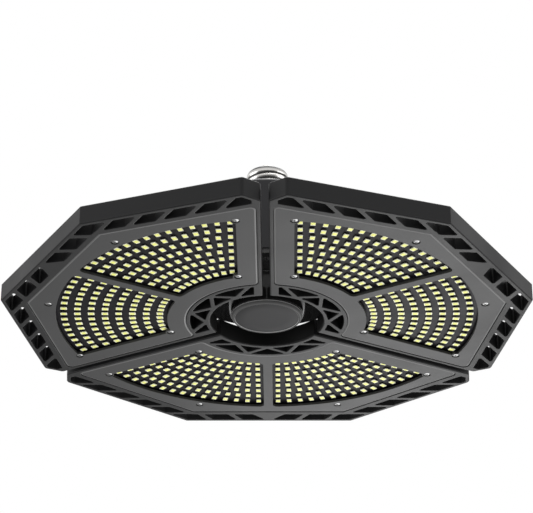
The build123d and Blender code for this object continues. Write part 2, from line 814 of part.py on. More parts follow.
# LED chips in curved rows, fewer on the inner rows, turning from the strip's direction to the side's
with BuildPart() as led_chips:
    with BuildSketch(Plane.XY.offset(chip_face)):
        for row in range(row_count):
            radius = outer_row_radius - row * row_pitch
            last = outer_row_chip_count - chip_count_step * (row // rows_per_step) - 1
            first_angle = degrees(asin(first_column / radius))
            last_angle = panel_half_angle - degrees(asin(last_column_margin / radius))
            for column in range(last + 1):
                share = column / last
                x, y = polar_point(radius, first_angle + share * (last_angle - first_angle))
                lean = share * panel_half_angle
                with Locations(Location((x, y, 0), (0, 0, -lean)), Location((-x, y, 0), (0, 0, lean))):
                    Rectangle(chip_width, chip_length)
    extrude(amount=chip_height)
keep_on_each_panel(led_chips.part, "led_chips")

# Cover plate with its two windows, tabs in their corners and recesses for the screw heads
with BuildPart() as cover_plate:
    with BuildSketch(Plane.XY.offset(plate_face)):
        add(rounded_sector(plate_edge, plate_side_margin, plate_inner_radius, plate_corner_round))
    extrude(amount=plate_thickness)
    plate_front = cover_plate.faces().sort_by(Axis.Z)[0]
    chamfer(plate_front.edges(), length=plate_bevel_width, length2=plate_bevel_drop, reference=plate_front)
    with BuildSketch(Plane.XY.offset(plate_face)):
        add(window(1))
        add(window(-1))
        with Locations(*cover_screw_points):
            Circle(cover_tab_radius, mode=Mode.SUBTRACT)
            Circle(cover_screw_radius + cover_screw_clearance)
    extrude(amount=plate_thickness, mode=Mode.SUBTRACT)
    with BuildSketch(Plane.XY.offset(plate_face)):
        with Locations(*cover_screw_points):
            Circle(cover_screw_head_radius + cover_recess_clearance)
    extrude(amount=cover_screw_sunk, mode=Mode.SUBTRACT)
keep_on_each_panel(cover_plate.part, "cover_plate")

# Cover screws, heads in the plate's recesses
cover_screws = pan_screw(downward(cover_screw_seat), from_below(cover_screw_points), cover_screw_radius,
                         cover_screw_length, cover_screw_head_radius, cover_screw_head_height)
keep_on_each_panel(cover_screws, "cover_screws")

# Hinge bracket: a plate on the housing with two round-ended ears
with BuildPart() as hinge_bracket:
    with BuildSketch(Plane.XZ.offset(-bracket_seat)):
        with Locations((0, (bracket_bottom + bracket_top) / 2)):
            RectangleRounded(bracket_width, bracket_height, hinge_corner_round)
    extrude(amount=-bracket_plate)
    for side in (-1, 1):
        with BuildSketch(Plane.YZ.offset(side * (ear_inner_x + ear_thickness / 2))):
            with Locations((hinge_y, hinge_z)):
                Circle(ear_radius)
            with Locations(((bracket_seat + hinge_y) / 2, hinge_z)):
                Rectangle(hinge_y - bracket_seat, 2 * ear_radius)
            with Locations((hinge_y, hinge_z)):
                Circle(bolt_hole_radius, mode=Mode.SUBTRACT)
        extrude(amount=ear_thickness / 2, both=True)
    with BuildSketch(Plane.XZ.offset(-bracket_face)):
        with Locations(*bracket_screw_points):
            Circle(bracket_screw_radius + screw_hole_clearance)
    extrude(amount=bracket_plate, mode=Mode.SUBTRACT)
keep_on_each_panel(hinge_bracket.part, "hinge_bracket")

# Bracket screws, heads outwards
bracket_screw_plane = Plane(origin=(0, bracket_face, 0), x_dir=(1, 0, 0), z_dir=(0, 1, 0))
bracket_screws = pan_screw(bracket_screw_plane, from_below(bracket_screw_points), bracket_screw_radius,
                           bracket_screw_length, bracket_screw_head_radius, bracket_screw_head_height)
keep_on_each_panel(bracket_screws, "bracket_screws")

# Hinge knuckle: a foot on the panel's back, a sloped neck and a barrel on the bolt
with BuildPart() as hinge_knuckle:
    with BuildSketch(Plane.XY.offset(panel_top)):
        with Locations((0, foot_y)):
            RectangleRounded(foot_width, foot_depth, hinge_corner_round)
    extrude(amount=foot_thickness)
    with BuildSketch(Plane.YZ):
        with Locations((hinge_y, hinge_z)):
            Circle(knuckle_radius)
        with BuildLine():
            Polyline(
                (hinge_y - knuckle_radius, hinge_z),
                (hinge_y - knuckle_radius, foot_top),
                (foot_y + neck_spread_share * foot_depth, foot_top),
                (hinge_y + knuckle_radius, hinge_z),
                close=True,
            )
        make_face()
        with Locations((hinge_y, hinge_z)):
            Circle(bolt_hole_radius, mode=Mode.SUBTRACT)
    extrude(amount=knuckle_width / 2, both=True)
    with BuildSketch(Plane.XY.offset(foot_top)):
        with Locations(*foot_screw_points):
            Circle(foot_screw_radius + screw_hole_clearance)
    extrude(amount=-foot_thickness, mode=Mode.SUBTRACT)
keep_on_each_panel(hinge_knuckle.part, "hinge_knuckle")
knuckle_screws = pan_screw(Plane.XY.offset(foot_top), foot_screw_points, foot_screw_radius,
                           foot_screw_length, foot_screw_head_radius, foot_screw_head_height)
keep_on_each_panel(knuckle_screws, "knuckle_screws")

# Hinge bolt through the ears and the knuckle, with its nut
bolt_axis_point = (hinge_y, hinge_z)
with BuildPart() as hinge_bolt:
    with BuildSketch(Plane.YZ.offset(-ear_outer_x)):
        with Locations(bolt_axis_point):
            Circle(bolt_head_radius)
    extrude(amount=-bolt_head_height)
    fillet(hinge_bolt.edges().group_by(Axis.X)[0], radius=bolt_head_round_share * bolt_head_height)
    with BuildSketch(Plane.YZ.offset(-ear_outer_x)):
        with Locations(bolt_axis_point):
            Circle(bolt_radius)
    extrude(amount=2 * ear_outer_x + hinge_nut_height + bolt_tail)
keep_on_each_panel(hinge_bolt.part, "hinge_bolt")
with BuildPart() as hinge_nut:
    with BuildSketch(Plane.YZ.offset(ear_outer_x)):
        with Locations(bolt_axis_point):
            RegularPolygon(hinge_nut_across_flats / 2, nut_sides, major_radius=False)
            Circle(bolt_hole_radius, mode=Mode.SUBTRACT)
    extrude(amount=hinge_nut_height)
keep_on_each_panel(hinge_nut.part, "hinge_nut")

# Panel cable: out of the housing wall, over in one bend and down into the panel
cable_route = [
    (0, housing_radius - cable_inner_reach, cable_exit),
    (0, cable_entry_y + cable_bulge, cable_exit),
    (0, cable_entry_y, panel_top + cable_shoulder_rise),
    (0, cable_entry_y, led_board_back),
]
with BuildPart() as panel_cable:
    with BuildLine() as cable_path:
        FilletPolyline(*cable_route, radius=list(cable_bends))
    with BuildSketch(Plane(origin=cable_path.line @ 0, z_dir=cable_path.line % 0)):
        Circle(cable_radius)
    sweep(path=cable_path.line)
keep_on_each_panel(panel_cable.part, "panel_cable")
print("cable length", round(cable_path.wires()[0].length, 1), "bend radii", cable_bends)

# Rubber grommet in the housing wall
grommet_inner_face = sqrt((housing_radius - housing_wall) ** 2 - grommet_flange_radius**2)
with BuildPart() as housing_grommet:
    with BuildSketch(Plane.XZ.offset(-housing_radius)):
        with Locations((0, cable_exit)):
            Circle(grommet_flange_radius)
    extrude(amount=-grommet_flange)
    with BuildSketch(Plane.XZ.offset(-grommet_inner_face)):
        with Locations((0, cable_exit)):
            Circle(grommet_flange_radius)
    extrude(amount=grommet_flange)
    with BuildSketch(Plane.XZ.offset(-housing_radius)):
        with Locations((0, cable_exit)):
            Circle(grommet_neck_radius)
    extrude(amount=housing_radius - grommet_inner_face)
    with BuildSketch(Plane.XZ.offset(-housing_radius - grommet_flange)):
        with Locations((0, cable_exit)):
            Circle(cable_hole_radius)
    extrude(amount=housing_radius, mode=Mode.SUBTRACT)
keep_on_each_panel(housing_grommet.part, "housing_grommet")

# Gland on the panel's back
with BuildPart() as panel_gland:
    with BuildSketch(Plane.XY.offset(panel_top)):
        with Locations((0, cable_entry_y)):
            Circle(gland_radius)
    extrude(amount=gland_height)
    chamfer(panel_gland.edges().group_by(Axis.Z)[-1], length=gland_taper)
    with BuildSketch(Plane.XY.offset(panel_top)):
        with Locations((0, cable_entry_y)):
            Circle(cable_hole_radius)
    extrude(amount=gland_height, mode=Mode.SUBTRACT)
keep_on_each_panel(panel_gland.part, "panel_gland")
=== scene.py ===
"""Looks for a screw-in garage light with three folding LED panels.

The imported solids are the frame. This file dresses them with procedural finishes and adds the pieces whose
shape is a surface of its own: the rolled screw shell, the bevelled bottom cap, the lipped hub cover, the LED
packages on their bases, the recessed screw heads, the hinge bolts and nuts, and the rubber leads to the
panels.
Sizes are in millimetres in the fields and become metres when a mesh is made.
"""
from __future__ import annotations

import json
import logging
from dataclasses import dataclass
from enum import Enum
from math import asin, cos, degrees, pi, radians, sin, tau
from typing import Any

import bmesh
import bpy
import numpy as np
from bpy.types import Material, Node, NodeSocket, NodeTree, Object
from mathutils import Matrix, Vector


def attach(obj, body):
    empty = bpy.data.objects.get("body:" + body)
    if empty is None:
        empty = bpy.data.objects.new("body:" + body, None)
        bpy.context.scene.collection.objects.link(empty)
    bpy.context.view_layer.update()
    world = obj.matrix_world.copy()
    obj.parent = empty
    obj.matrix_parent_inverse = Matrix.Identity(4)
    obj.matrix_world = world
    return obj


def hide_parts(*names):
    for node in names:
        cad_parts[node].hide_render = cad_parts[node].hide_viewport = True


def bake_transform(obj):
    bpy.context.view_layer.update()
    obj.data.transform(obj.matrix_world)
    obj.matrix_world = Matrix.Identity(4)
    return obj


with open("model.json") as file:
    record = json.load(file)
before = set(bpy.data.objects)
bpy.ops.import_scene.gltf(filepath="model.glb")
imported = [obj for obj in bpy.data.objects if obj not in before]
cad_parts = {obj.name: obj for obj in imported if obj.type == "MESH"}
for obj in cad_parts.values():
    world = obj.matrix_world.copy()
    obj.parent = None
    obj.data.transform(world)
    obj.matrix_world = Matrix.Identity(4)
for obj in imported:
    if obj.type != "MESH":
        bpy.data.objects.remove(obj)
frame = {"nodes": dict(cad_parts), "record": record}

LOG = logging.getLogger("garage_light")
MM = 0.001
Pair = tuple[float, float]
Point = tuple[float, float, float]
Colour = tuple[float, float, float]


def about_z(angles: np.ndarray | float) -> np.ndarray:
    """Turns about +Z as 3 by 3 matrices, one for each angle."""
    c, s, zero, one = np.cos(angles), np.sin(angles), np.zeros_like(angles), np.ones_like(angles)
    return np.moveaxis(np.array([[c, -s, zero], [s, c, zero], [zero, zero, one]]), (0, 1), (-2, -1))


class Side(Enum):
    """The three panels, named by where they stand, with their turn about the lamp's axis in degrees."""

    FAR = ("far", 0.0)
    LEFT = ("left", 120.0)
    RIGHT = ("right", 240.0)

    @property
    def label(self) -> str:
        """The panel's name in the frame."""
        return self.value[0]

    @property
    def turn(self) -> np.ndarray:
        """The panel's turn about +Z as a 3 by 3 matrix."""
        return about_z(radians(self.value[1]))


class Drive(Enum):
    """The recess in a screw's head."""

    CROSS = "cross"
    HEX = "hex"


class Texture(Enum):
    """The small relief that a finish shows."""

    GRAIN = "grain"
    DRAWN = "drawn"
    TRACKS = "tracks"


# Node trees


class Graph:
    """A node tree with short calls for adding nodes and joining them."""

    def __init__(self, tree: NodeTree) -> None:
        """Keep the tree that the nodes go into."""
        self.tree = tree

    def add(self, kind: str, inputs: dict[Any, Any] | None = None, **settings: Any) -> Node:
        """Add one node.

        Args:
            kind: The node's type, without its ShaderNode prefix.
            inputs: Values or sockets for the node's inputs, by name or number.
            **settings: Values for the node's own properties.

        Returns:
            The new node.
        """
        node = self.tree.nodes.new("ShaderNode" + kind)
        for key, value in settings.items():
            setattr(node, key, value)
        for key, value in (inputs or {}).items():
            if isinstance(value, NodeSocket):
                self.tree.links.new(value, node.inputs[key])
            else:
                node.inputs[key].default_value = value
        return node

    def math(self, operation: str, *values: Any) -> NodeSocket:
        """Add a Math node and give its output."""
        return self.add("Math", dict(enumerate(values)), operation=operation).outputs[0]

    def blend(self, factor: Any, first: Any, second: Any) -> NodeSocket:
        """Mix two colours by a factor and give the result."""
        return self.add("Mix", {0: factor, 6: first, 7: second}, data_type="RGBA").outputs[2]

    def spread(self, value: Any, low: float, high: float, start: float = 0.0, end: float = 1.0) -> NodeSocket:
        """Map a value from start..end to low..high, clamped, and give the result."""
        return self.add("MapRange", {0: value, 1: start, 2: end, 3: low, 4: high}).outputs[0]

    def group(self, tree: NodeTree, values: dict[str, Any] | None = None) -> Node:
        """Place a node group with its own values."""
        return self.add("Group", values, node_tree=tree)

    def axis_distance(self) -> NodeSocket:
        """Measure how far a point is from the lamp's axis and give the distance."""
        flat = self.add("VectorMath", {0: self.add("TexCoord").outputs["Object"], 1: (1.0, 1.0, 0.0)},
                        operation="MULTIPLY")
        return self.add("VectorMath", {0: flat.outputs[0]}, operation="LENGTH").outputs["Value"]

    def close(self, **results: NodeSocket) -> NodeTree:
        """Give a group its outputs.

        Args:
            **results: The sockets that go out, by name.

        Returns:
            The finished group.
        """
        for key, result in results.items():
            kind = "NodeSocketVector" if result.type == "VECTOR" else "NodeSocketFloat"
            self.tree.interface.new_socket(name=key, in_out="OUTPUT", socket_type=kind)
        sink = self.tree.nodes.new("NodeGroupOutput")
        for key, result in results.items():
            self.tree.links.new(result, sink.inputs[key])
        return self.tree


class Effects:
    """The shader node groups that several finishes share."""

    EDGE_SAMPLES = 6
    EDGE_COSINES = (0.995, 0.86)
    PATCH_LIMITS = (0.3, 0.7)

    def __init__(self) -> None:
        """Build every group once."""
        self.rounded_edges = self._rounded_edges()
        self.fine_grain = self._fine_grain()
        self.drawn_lines = self._drawn_lines()
        self.row_tracks = self._row_tracks()
        self.slope_faces = self._slope_faces()
        self.radius_band = self._radius_band()

    @staticmethod
    def _start(name: str, inputs: dict[str, float]) -> tuple[Graph, Any]:
        """Make an empty group with its inputs.

        Args:
            name: The group's name.
            inputs: Number inputs with their default values.

        Returns:
            The graph, and the inputs' sockets by name.
        """
        tree = bpy.data.node_groups.new(name, "ShaderNodeTree")
        for key, value in inputs.items():
            socket = tree.interface.new_socket(name=key, in_out="INPUT", socket_type="NodeSocketFloat")
            socket.default_value = value
        return Graph(tree), tree.nodes.new("NodeGroupInput").outputs

    def _rounded_edges(self) -> NodeTree:
        """Soften edges over a radius: the softened normal, and a mask where it leaves the flat one.

        Returns:
            The group.
        """
        g, given = self._start("rounded_edges", {"Radius": 0.0004})
        soft = g.add("Bevel", {"Radius": given["Radius"]}, samples=self.EDGE_SAMPLES).outputs[0]
        flat = g.add("NewGeometry").outputs["Normal"]
        turn = g.add("VectorMath", {0: soft, 1: flat}, operation="DOT_PRODUCT").outputs["Value"]
        return g.close(Edge=g.spread(turn, 0.0, 1.0, *self.EDGE_COSINES), Normal=soft)

    def _fine_grain(self) -> NodeTree:
        """Lay two sizes of noise: small grain for the relief, and wide patches for tone and gloss.

        Returns:
            The group.
        """
        g, given = self._start("fine_grain", {"Scale": 1500.0, "Patch Scale": 25.0})
        place = g.add("TexCoord").outputs["Object"]
        grain = g.add("TexNoise", {"Vector": place, "Scale": given["Scale"], "Detail": 3.0}).outputs[0]
        patch = g.add("TexNoise", {"Vector": place, "Scale": given["Patch Scale"], "Detail": 4.0}).outputs[0]
        return g.close(Height=grain, Patch=g.spread(patch, 0.0, 1.0, *self.PATCH_LIMITS))

    def _drawn_lines(self) -> NodeTree:
        """Stretch noise along +Z, as drawn or rolled metal shows.

        Returns:
            The group.
        """
        g, given = self._start("drawn_lines", {"Across": 900.0, "Along": 60.0})
        parts = g.add("SeparateXYZ", {0: g.add("TexCoord").outputs["Object"]}).outputs
        scales = (given["Across"], given["Across"], given["Along"])
        scaled = [g.math("MULTIPLY", part, scale) for part, scale in zip(parts, scales)]
        place = g.add("CombineXYZ", dict(enumerate(scaled))).outputs[0]
        return g.close(Height=g.add("TexNoise", {"Vector": place, "Scale": 1.0, "Detail": 4.0}).outputs[0])

    def _row_tracks(self) -> NodeTree:
        """Mark the copper tracks under the mask: arcs about the lamp's axis, one pitch apart.

        Returns:
            The group.
        """
        g, given = self._start("row_tracks", {"Pitch": 0.008, "Offset": 0.0, "Width": 0.18})
        pitches = g.math("DIVIDE", g.math("SUBTRACT", g.axis_distance(), given["Offset"]), given["Pitch"])
        away = g.math("PINGPONG", g.math("ADD", pitches, 0.5), 0.5)
        return g.close(Track=g.math("LESS_THAN", away, given["Width"]))

    def _slope_faces(self) -> NodeTree:
        """Mask the faces between two limits of how level they are: 0 for upright and 1 for level.

        Returns:
            The group.
        """
        g, given = self._start("slope_faces", {"Low": 0.0, "High": 1.0})
        parts = g.add("SeparateXYZ", {0: g.add("TexCoord").outputs["Normal"]}).outputs
        level = g.math("ABSOLUTE", parts[2])
        above, below = g.math("GREATER_THAN", level, given["Low"]), g.math("LESS_THAN", level, given["High"])
        return g.close(Mask=g.math("MULTIPLY", above, below))

    def _radius_band(self) -> NodeTree:
        """Tell how far a point stands between two distances from the lamp's axis, from 0 to 1.

        Returns:
            The group.
        """
        g, given = self._start("radius_band", {"Inner": 0.0, "Outer": 1.0})
        share = g.add("MapRange", {0: g.axis_distance(), 1: given["Inner"], 2: given["Outer"]})
        return g.close(Share=share.outputs[0])


# Finishes


@dataclass(frozen=True)
class Finish:
    """One finish: colours, gloss and relief. Its lengths are in metres, as node trees take them."""

    slot: str
    colour: Colour
    rough: Pair
    texture: Texture = Texture.GRAIN
    # Lighter colour along edges: partly edge wear, partly a painted highlight on the edges.
    wear_and_edge_highlight: Colour | None = None
    wear_and_edge_highlight_share: float = 0.5
    metallic: float = 0.0
    specular: float = 0.5
    coat: float = 0.0
    coat_rough: float = 0.05
    tone: float = 0.08
    # Colours by how level a face is: painted highlights on some slopes and painted shade on others.
    painted_slope_light: tuple[tuple[float, float, Colour], ...] = ()
    # Radii in metres inside which the colour fades to a dark one: painted shade near the lamp's axis.
    painted_shade_radii: Pair | None = None
    painted_shade_colour: Colour = (0.05, 0.05, 0.05)
    grain_scale: float = 1500.0
    grain_height: float = 0.00001
    edge_radius: float = 0.0004
    track_radius: float = 0.11855
    track_tone: float = 1.15
    track_grain: float = 0.3

    def material(self, effects: Effects) -> Material:
        """Build the finish's node tree.

        Args:
            effects: The shared node groups.

        Returns:
            The new material.
        """
        made = bpy.data.materials.new(self.slot)
        made.use_nodes = True
        g = Graph(made.node_tree)
        g.tree.nodes.clear()
        grain = g.group(effects.fine_grain, {"Scale": self.grain_scale})
        edges = g.group(effects.rounded_edges, {"Radius": self.edge_radius})
        patch, height = grain.outputs["Patch"], grain.outputs["Height"]
        colour = g.blend(patch, self._toned(1 - self.tone), self._toned(1 + self.tone))
        if self.texture is Texture.DRAWN:
            height = g.group(effects.drawn_lines).outputs["Height"]
            patch = height
        if self.texture is Texture.TRACKS:
            track = g.group(effects.row_tracks, {"Offset": self.track_radius}).outputs["Track"]
            colour = g.blend(track, colour, self._toned(self.track_tone))
            height = g.math("ADD", g.math("MULTIPLY", height, self.track_grain), track)
        # Edges take a lighter colour: edge wear and a painted highlight along them.
        if self.wear_and_edge_highlight is not None:
            wear_and_edge_highlight = g.math("MULTIPLY", edges.outputs["Edge"], self.wear_and_edge_highlight_share)
            colour = g.blend(wear_and_edge_highlight, colour, (*self.wear_and_edge_highlight, 1.0))
        # Faces within a band of tilt take another colour: painted highlight on some slopes, painted shade on
        # others.
        for low, high, painted_tone in self.painted_slope_light:
            leaning = g.group(effects.slope_faces, {"Low": low, "High": high})
            colour = g.blend(leaning.outputs["Mask"], colour, (*painted_tone, 1.0))
        # Near the lamp's axis the colour fades to a dark one: painted shade.
        if self.painted_shade_radii is not None:
            unshaded_share = g.group(effects.radius_band, dict(zip(("Inner", "Outer"), self.painted_shade_radii)))
            colour = g.blend(unshaded_share.outputs["Share"], (*self.painted_shade_colour, 1.0), colour)
        relief = g.add("Bump", {"Strength": 1.0, "Distance": self.grain_height, "Height": height,
                                "Normal": edges.outputs["Normal"]})
        shader = g.add("BsdfPrincipled", {
            "Base Color": colour,
            "Roughness": g.spread(patch, *self.rough),
            "Metallic": self.metallic,
            "Specular IOR Level": self.specular,
            "Coat Weight": self.coat,
            "Coat Roughness": self.coat_rough,
            "Normal": relief.outputs[0],
        })
        g.add("OutputMaterial", {0: shader.outputs[0]})
        return made

    def _toned(self, factor: float) -> tuple[float, float, float, float]:
        """The base colour, lighter or darker."""
        return (*[min(1.0, c * factor) for c in self.colour], 1.0)


FINISHES = (
    # The thread's roots are painted dark inside a radius: painted shade and dark reflection between the
    # ridges.
    Finish("nickel_shell", (0.62, 0.61, 0.59), (0.14, 0.3), Texture.DRAWN, metallic=1.0,
           grain_height=0.000004, edge_radius=0.0002, painted_shade_radii=(0.01242, 0.0127),
           painted_shade_colour=(0.03, 0.03, 0.03)),
    Finish("black_insulator", (0.012, 0.012, 0.013), (0.08, 0.16), coat=0.6, grain_height=0.000004),
    Finish("contact_metal", (0.5, 0.49, 0.46), (0.3, 0.42), metallic=1.0, grain_scale=2500.0),
    Finish("black_collar", (0.014, 0.014, 0.015), (0.4, 0.5), wear_and_edge_highlight=(0.05, 0.05, 0.052), specular=0.35),
    Finish("lead_insulation", (0.55, 0.55, 0.53), (0.45, 0.55)),
    Finish("housing_coat", (0.017, 0.017, 0.019), (0.34, 0.46), wear_and_edge_highlight=(0.07, 0.07, 0.075),
           grain_scale=2200.0, specular=0.3),
    # Upright faces are painted darker as shade, and the bevel band lighter as a painted highlight.
    Finish("gloss_black", (0.017, 0.017, 0.0175), (0.1, 0.18), wear_and_edge_highlight=(0.02, 0.02, 0.02), specular=0.1,
           coat=0.35, coat_rough=0.04, grain_height=0.000003,
           painted_slope_light=((-1.0, 0.5, (0.009, 0.009, 0.009)), (0.895, 0.93, (0.19, 0.19, 0.19)))),
    # The lip's slopes are painted lighter and its near-upright rise brighter still: painted highlights.
    Finish("grey_disc", (0.031, 0.031, 0.032), (0.5, 0.6), wear_and_edge_highlight=(0.1, 0.1, 0.1), grain_scale=2600.0,
           grain_height=0.000008, specular=0.08,
           painted_slope_light=((0.15, 0.97, (0.1, 0.1, 0.1)), (0.05, 0.15, (0.5, 0.5, 0.5)))),
    Finish("screw_steel", (0.26, 0.26, 0.26), (0.18, 0.3), metallic=1.0, grain_scale=4000.0,
           grain_height=0.000003, edge_radius=0.0002),
    Finish("driver_board_mask", (0.02, 0.1, 0.035), (0.3, 0.4)),
    Finish("transformer_tape", (0.5, 0.36, 0.03), (0.35, 0.45)),
    Finish("capacitor_sleeve", (0.012, 0.016, 0.04), (0.2, 0.3)),
    Finish("choke_winding", (0.48, 0.19, 0.07), (0.2, 0.32), Texture.DRAWN, metallic=1.0),
    # Inside the panels' inner arc the coat fades to near black: painted shade on the inner wall.
    Finish("frame_coat", (0.0088, 0.0088, 0.0093), (0.42, 0.54), wear_and_edge_highlight=(0.06, 0.06, 0.061), wear_and_edge_highlight_share=0.6,
           grain_scale=2400.0, specular=0.22, edge_radius=0.0006, painted_shade_radii=(0.0333, 0.0338),
           painted_shade_colour=(0.003, 0.003, 0.003)),
    Finish("led_board_mask", (0.008, 0.0072, 0.0092), (0.36, 0.48), Texture.TRACKS, specular=0.06,
           grain_height=0.00002),
    Finish("led_phosphor", (0.86, 0.87, 0.23), (0.4, 0.55), tone=0.05, grain_scale=6000.0, specular=0.3),
    Finish("led_body", (0.94, 0.94, 0.72), (0.4, 0.5), tone=0.03, grain_scale=5000.0, specular=0.3),
    # The bevel is painted lighter as a highlight line, and the upright walls darker as painted shade in the
    # window recesses.
    Finish("grey_plate", (0.0458, 0.0458, 0.0466), (0.42, 0.54), grain_scale=3000.0, grain_height=0.000006,
           specular=0.19, painted_slope_light=((0.85, 0.99, (0.15, 0.15, 0.15)), (-1.0, 0.5, (0.03, 0.03, 0.03)))),
    Finish("hinge_coat", (0.016, 0.016, 0.017), (0.32, 0.44), wear_and_edge_highlight=(0.08, 0.08, 0.08), grain_scale=2200.0,
           specular=0.35),
    Finish("bolt_steel", (0.42, 0.42, 0.43), (0.16, 0.28), metallic=1.0, grain_scale=3500.0,
           grain_height=0.000004, edge_radius=0.0002),
    Finish("black_screw", (0.014, 0.014, 0.0145), (0.4, 0.5), grain_scale=3500.0, specular=0.25),
    Finish("cable_rubber", (0.011, 0.011, 0.012), (0.42, 0.56), grain_scale=3500.0, specular=0.35),
    Finish("grommet_rubber", (0.012, 0.012, 0.013), (0.55, 0.68), grain_scale=3500.0, specular=0.3),
    Finish("gland_plastic", (0.013, 0.013, 0.014), (0.34, 0.46), wear_and_edge_highlight=(0.06, 0.06, 0.06), specular=0.35),
)


class Wardrobe:
    """The finished materials, by name, and the calls that dress nodes and new pieces."""

    def __init__(self) -> None:
        """Make a material for every finish."""
        effects = Effects()
        self.materials = {finish.slot: finish.material(effects) for finish in FINISHES}

    def dress_nodes(self) -> None:
        """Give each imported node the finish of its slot."""
        for part in frame["record"]["subparts"]:
            node = frame["nodes"][part["node"]]
            node.data.materials.clear()
            node.data.materials.append(self.materials[part["material_slot"]])
            LOG.info("dressed %s in %s", part["node"], part["material_slot"])

    def dress(self, piece: Object, slot: str, finish: str | None = None) -> None:
        """Give a new piece a finish.

        Args:
            piece: The piece.
            slot: The record's slot that the piece takes its finish from.
            finish: The material's name, where it isn't the slot's own.
        """
        piece.data.materials.append(self.materials[finish or slot])
        LOG.info("made %s in %s", piece.name, finish or slot)


@dataclass(frozen=True)
class Assembly:
    """Pieces that are dressed from one wardrobe."""

    wardrobe: Wardrobe


@dataclass(frozen=True)
class PanelAssembly(Assembly):
    """Pieces that every panel has."""

    side: Side


# Surfaces

ROUND_STEPS = 144
HEX_ANGLES = np.radians(np.arange(0.0, 360.0, 7.5))


def around(steps: int = ROUND_STEPS) -> np.ndarray:
    """Evenly spaced angles of a whole turn, in one row."""
    return np.linspace(0, tau, steps, endpoint=False)[None, :]


def rings_round(radius: np.ndarray, level: np.ndarray | float, angle: np.ndarray) -> np.ndarray:
    """Points about +Z: the radius times the cosine and the sine of the angle, at the level."""
    return np.stack(np.broadcast_arrays(radius * np.cos(angle), radius * np.sin(angle), level), -1)


def carried_round(*stretches: np.ndarray | list[Pair]) -> np.ndarray:
    """The rings of a section carried round +Z, given as stretches of radius and level in order."""
    radius, level = np.concatenate(stretches).T[:, :, None]
    return rings_round(radius, level, around())


def hexagon(flats: float) -> np.ndarray:
    """A hexagon's radius at HEX_ANGLES: half its flats over the cosine of the angle from a flat's middle."""
    return flats / 2 / np.cos((HEX_ANGLES + pi / 6) % (pi / 3) - pi / 6)


def grid_faces(rows: int, cols: int, wrap_rows: bool = False) -> np.ndarray:
    """Quads of a grid of vertices numbered row by row, whose columns close on themselves.

    Args:
        rows: The number of rows.
        cols: The number of vertices in a row.
        wrap_rows: True where the last row also joins the first.

    Returns:
        The quads, one to a line.
    """
    row, col = np.meshgrid(np.arange(rows if wrap_rows else rows - 1), np.arange(cols), indexing="ij")
    below, beside = (row + 1) % rows, (col + 1) % cols
    quads = [row * cols + col, row * cols + beside, below * cols + beside, below * cols + col]
    return np.stack(quads, -1).reshape(-1, 4)


@dataclass(frozen=True)
class Skin:
    """A closed surface as whole arrays: points, and faces of four and of three corners."""

    points: np.ndarray
    quads: np.ndarray
    tris: np.ndarray

    @classmethod
    def loop(cls, rings: np.ndarray) -> Skin:
        """Join rings by quads, from each to the next and from the last to the first."""
        quads = grid_faces(*rings.shape[:2], wrap_rows=True)
        return cls(rings.reshape(-1, 3), quads, np.empty((0, 3), int))

    @classmethod
    def stack(cls, rings: np.ndarray) -> Skin:
        """Join a stack of rings: quads between them, and a fan to the middle of each end.

        Args:
            rings: The rings' points, rows by columns by 3.

        Returns:
            The surface.
        """
        rows, cols = rings.shape[:2]
        points = np.concatenate([rings.reshape(-1, 3), rings[[0, -1]].mean(1)])
        here = np.arange(cols)
        first = np.stack([here, (here + 1) % cols, np.full(cols, rows * cols)], -1)
        last = first + [(rows - 1) * cols, (rows - 1) * cols, 1]
        return cls(points, grid_faces(rows, cols), np.concatenate([first, last]))

    def placed(self, turn: np.ndarray, place: np.ndarray | float = 0.0) -> Skin:
        """The surface turned by a 3 by 3 matrix and then moved."""
        return Skin(self.points @ turn.T + place, self.quads, self.tris)

    def joined(self, other: Skin) -> Skin:
        """Put two surfaces into one.

        Args:
            other: The second surface.

        Returns:
            Both.
        """
        count = len(self.points)
        return Skin(np.concatenate([self.points, other.points]),
                    np.concatenate([self.quads, other.quads + count]),
                    np.concatenate([self.tris, other.tris + count]))

    def copied(self, turns: np.ndarray, places: np.ndarray) -> Skin:
        """Copy the surface to many places.

        Args:
            turns: One 3 by 3 matrix for each copy.
            places: One point for each copy.

        Returns:
            All the copies as one.
        """
        points = np.einsum("kij,nj->kni", turns, self.points) + places[:, None, :]
        start = len(self.points) * np.arange(len(places))[:, None, None]
        return Skin(points.reshape(-1, 3), (self.quads + start).reshape(-1, 4),
                    (self.tris + start).reshape(-1, 3))


def new_object(name: str, data: Any) -> Object:
    """Put an object into the scene.

    Args:
        name: The object's name.
        data: Its mesh, light or camera.

    Returns:
        The new object, at the origin.
    """
    made = bpy.data.objects.new(name, data)
    bpy.context.scene.collection.objects.link(made)
    return made


def new_piece(name: str, skin: Skin, crease: float = 32.0) -> Object:
    """Make a mesh object from a surface in millimetres, with its faces turned outwards.

    Args:
        name: The piece's name.
        skin: Its surface.
        crease: The angle in degrees past which an edge stays sharp.

    Returns:
        The new object, at the origin.
    """
    mesh = bpy.data.meshes.new(name)
    mesh.from_pydata((skin.points * MM).tolist(), [], [*skin.quads.tolist(), *skin.tris.tolist()])
    shape = bmesh.new()
    shape.from_mesh(mesh)
    bmesh.ops.recalc_face_normals(shape, faces=shape.faces)
    shape.to_mesh(mesh)
    shape.free()
    mesh.shade_smooth()
    mesh.set_sharp_from_angle(angle=radians(crease))
    return new_object(name, mesh)


# Screw heads, bolts and nuts. The cross's angles are in degrees, and shares are of a radius or a depth.

CROSS_FLANK = 4.0
CROSS_SPOKES = (22.0, 33.0, 45.0)
TOP_SHARES = (0.0, 0.3, 0.6, 0.82, 0.95, 1.0)
CROWN_POWER = 4
FLOOR_SHARES = (0.45, 0.86)
FLOOR_DISH_SHARE = 0.1
SMALLEST_SINE = 1e-6
FACE_LEFT = np.array([[0.0, 0.0, -1.0], [1.0, 0.0, 0.0], [0.0, -1.0, 0.0]])
FACE_DOWN = np.diag([1.0, -1.0, -1.0])


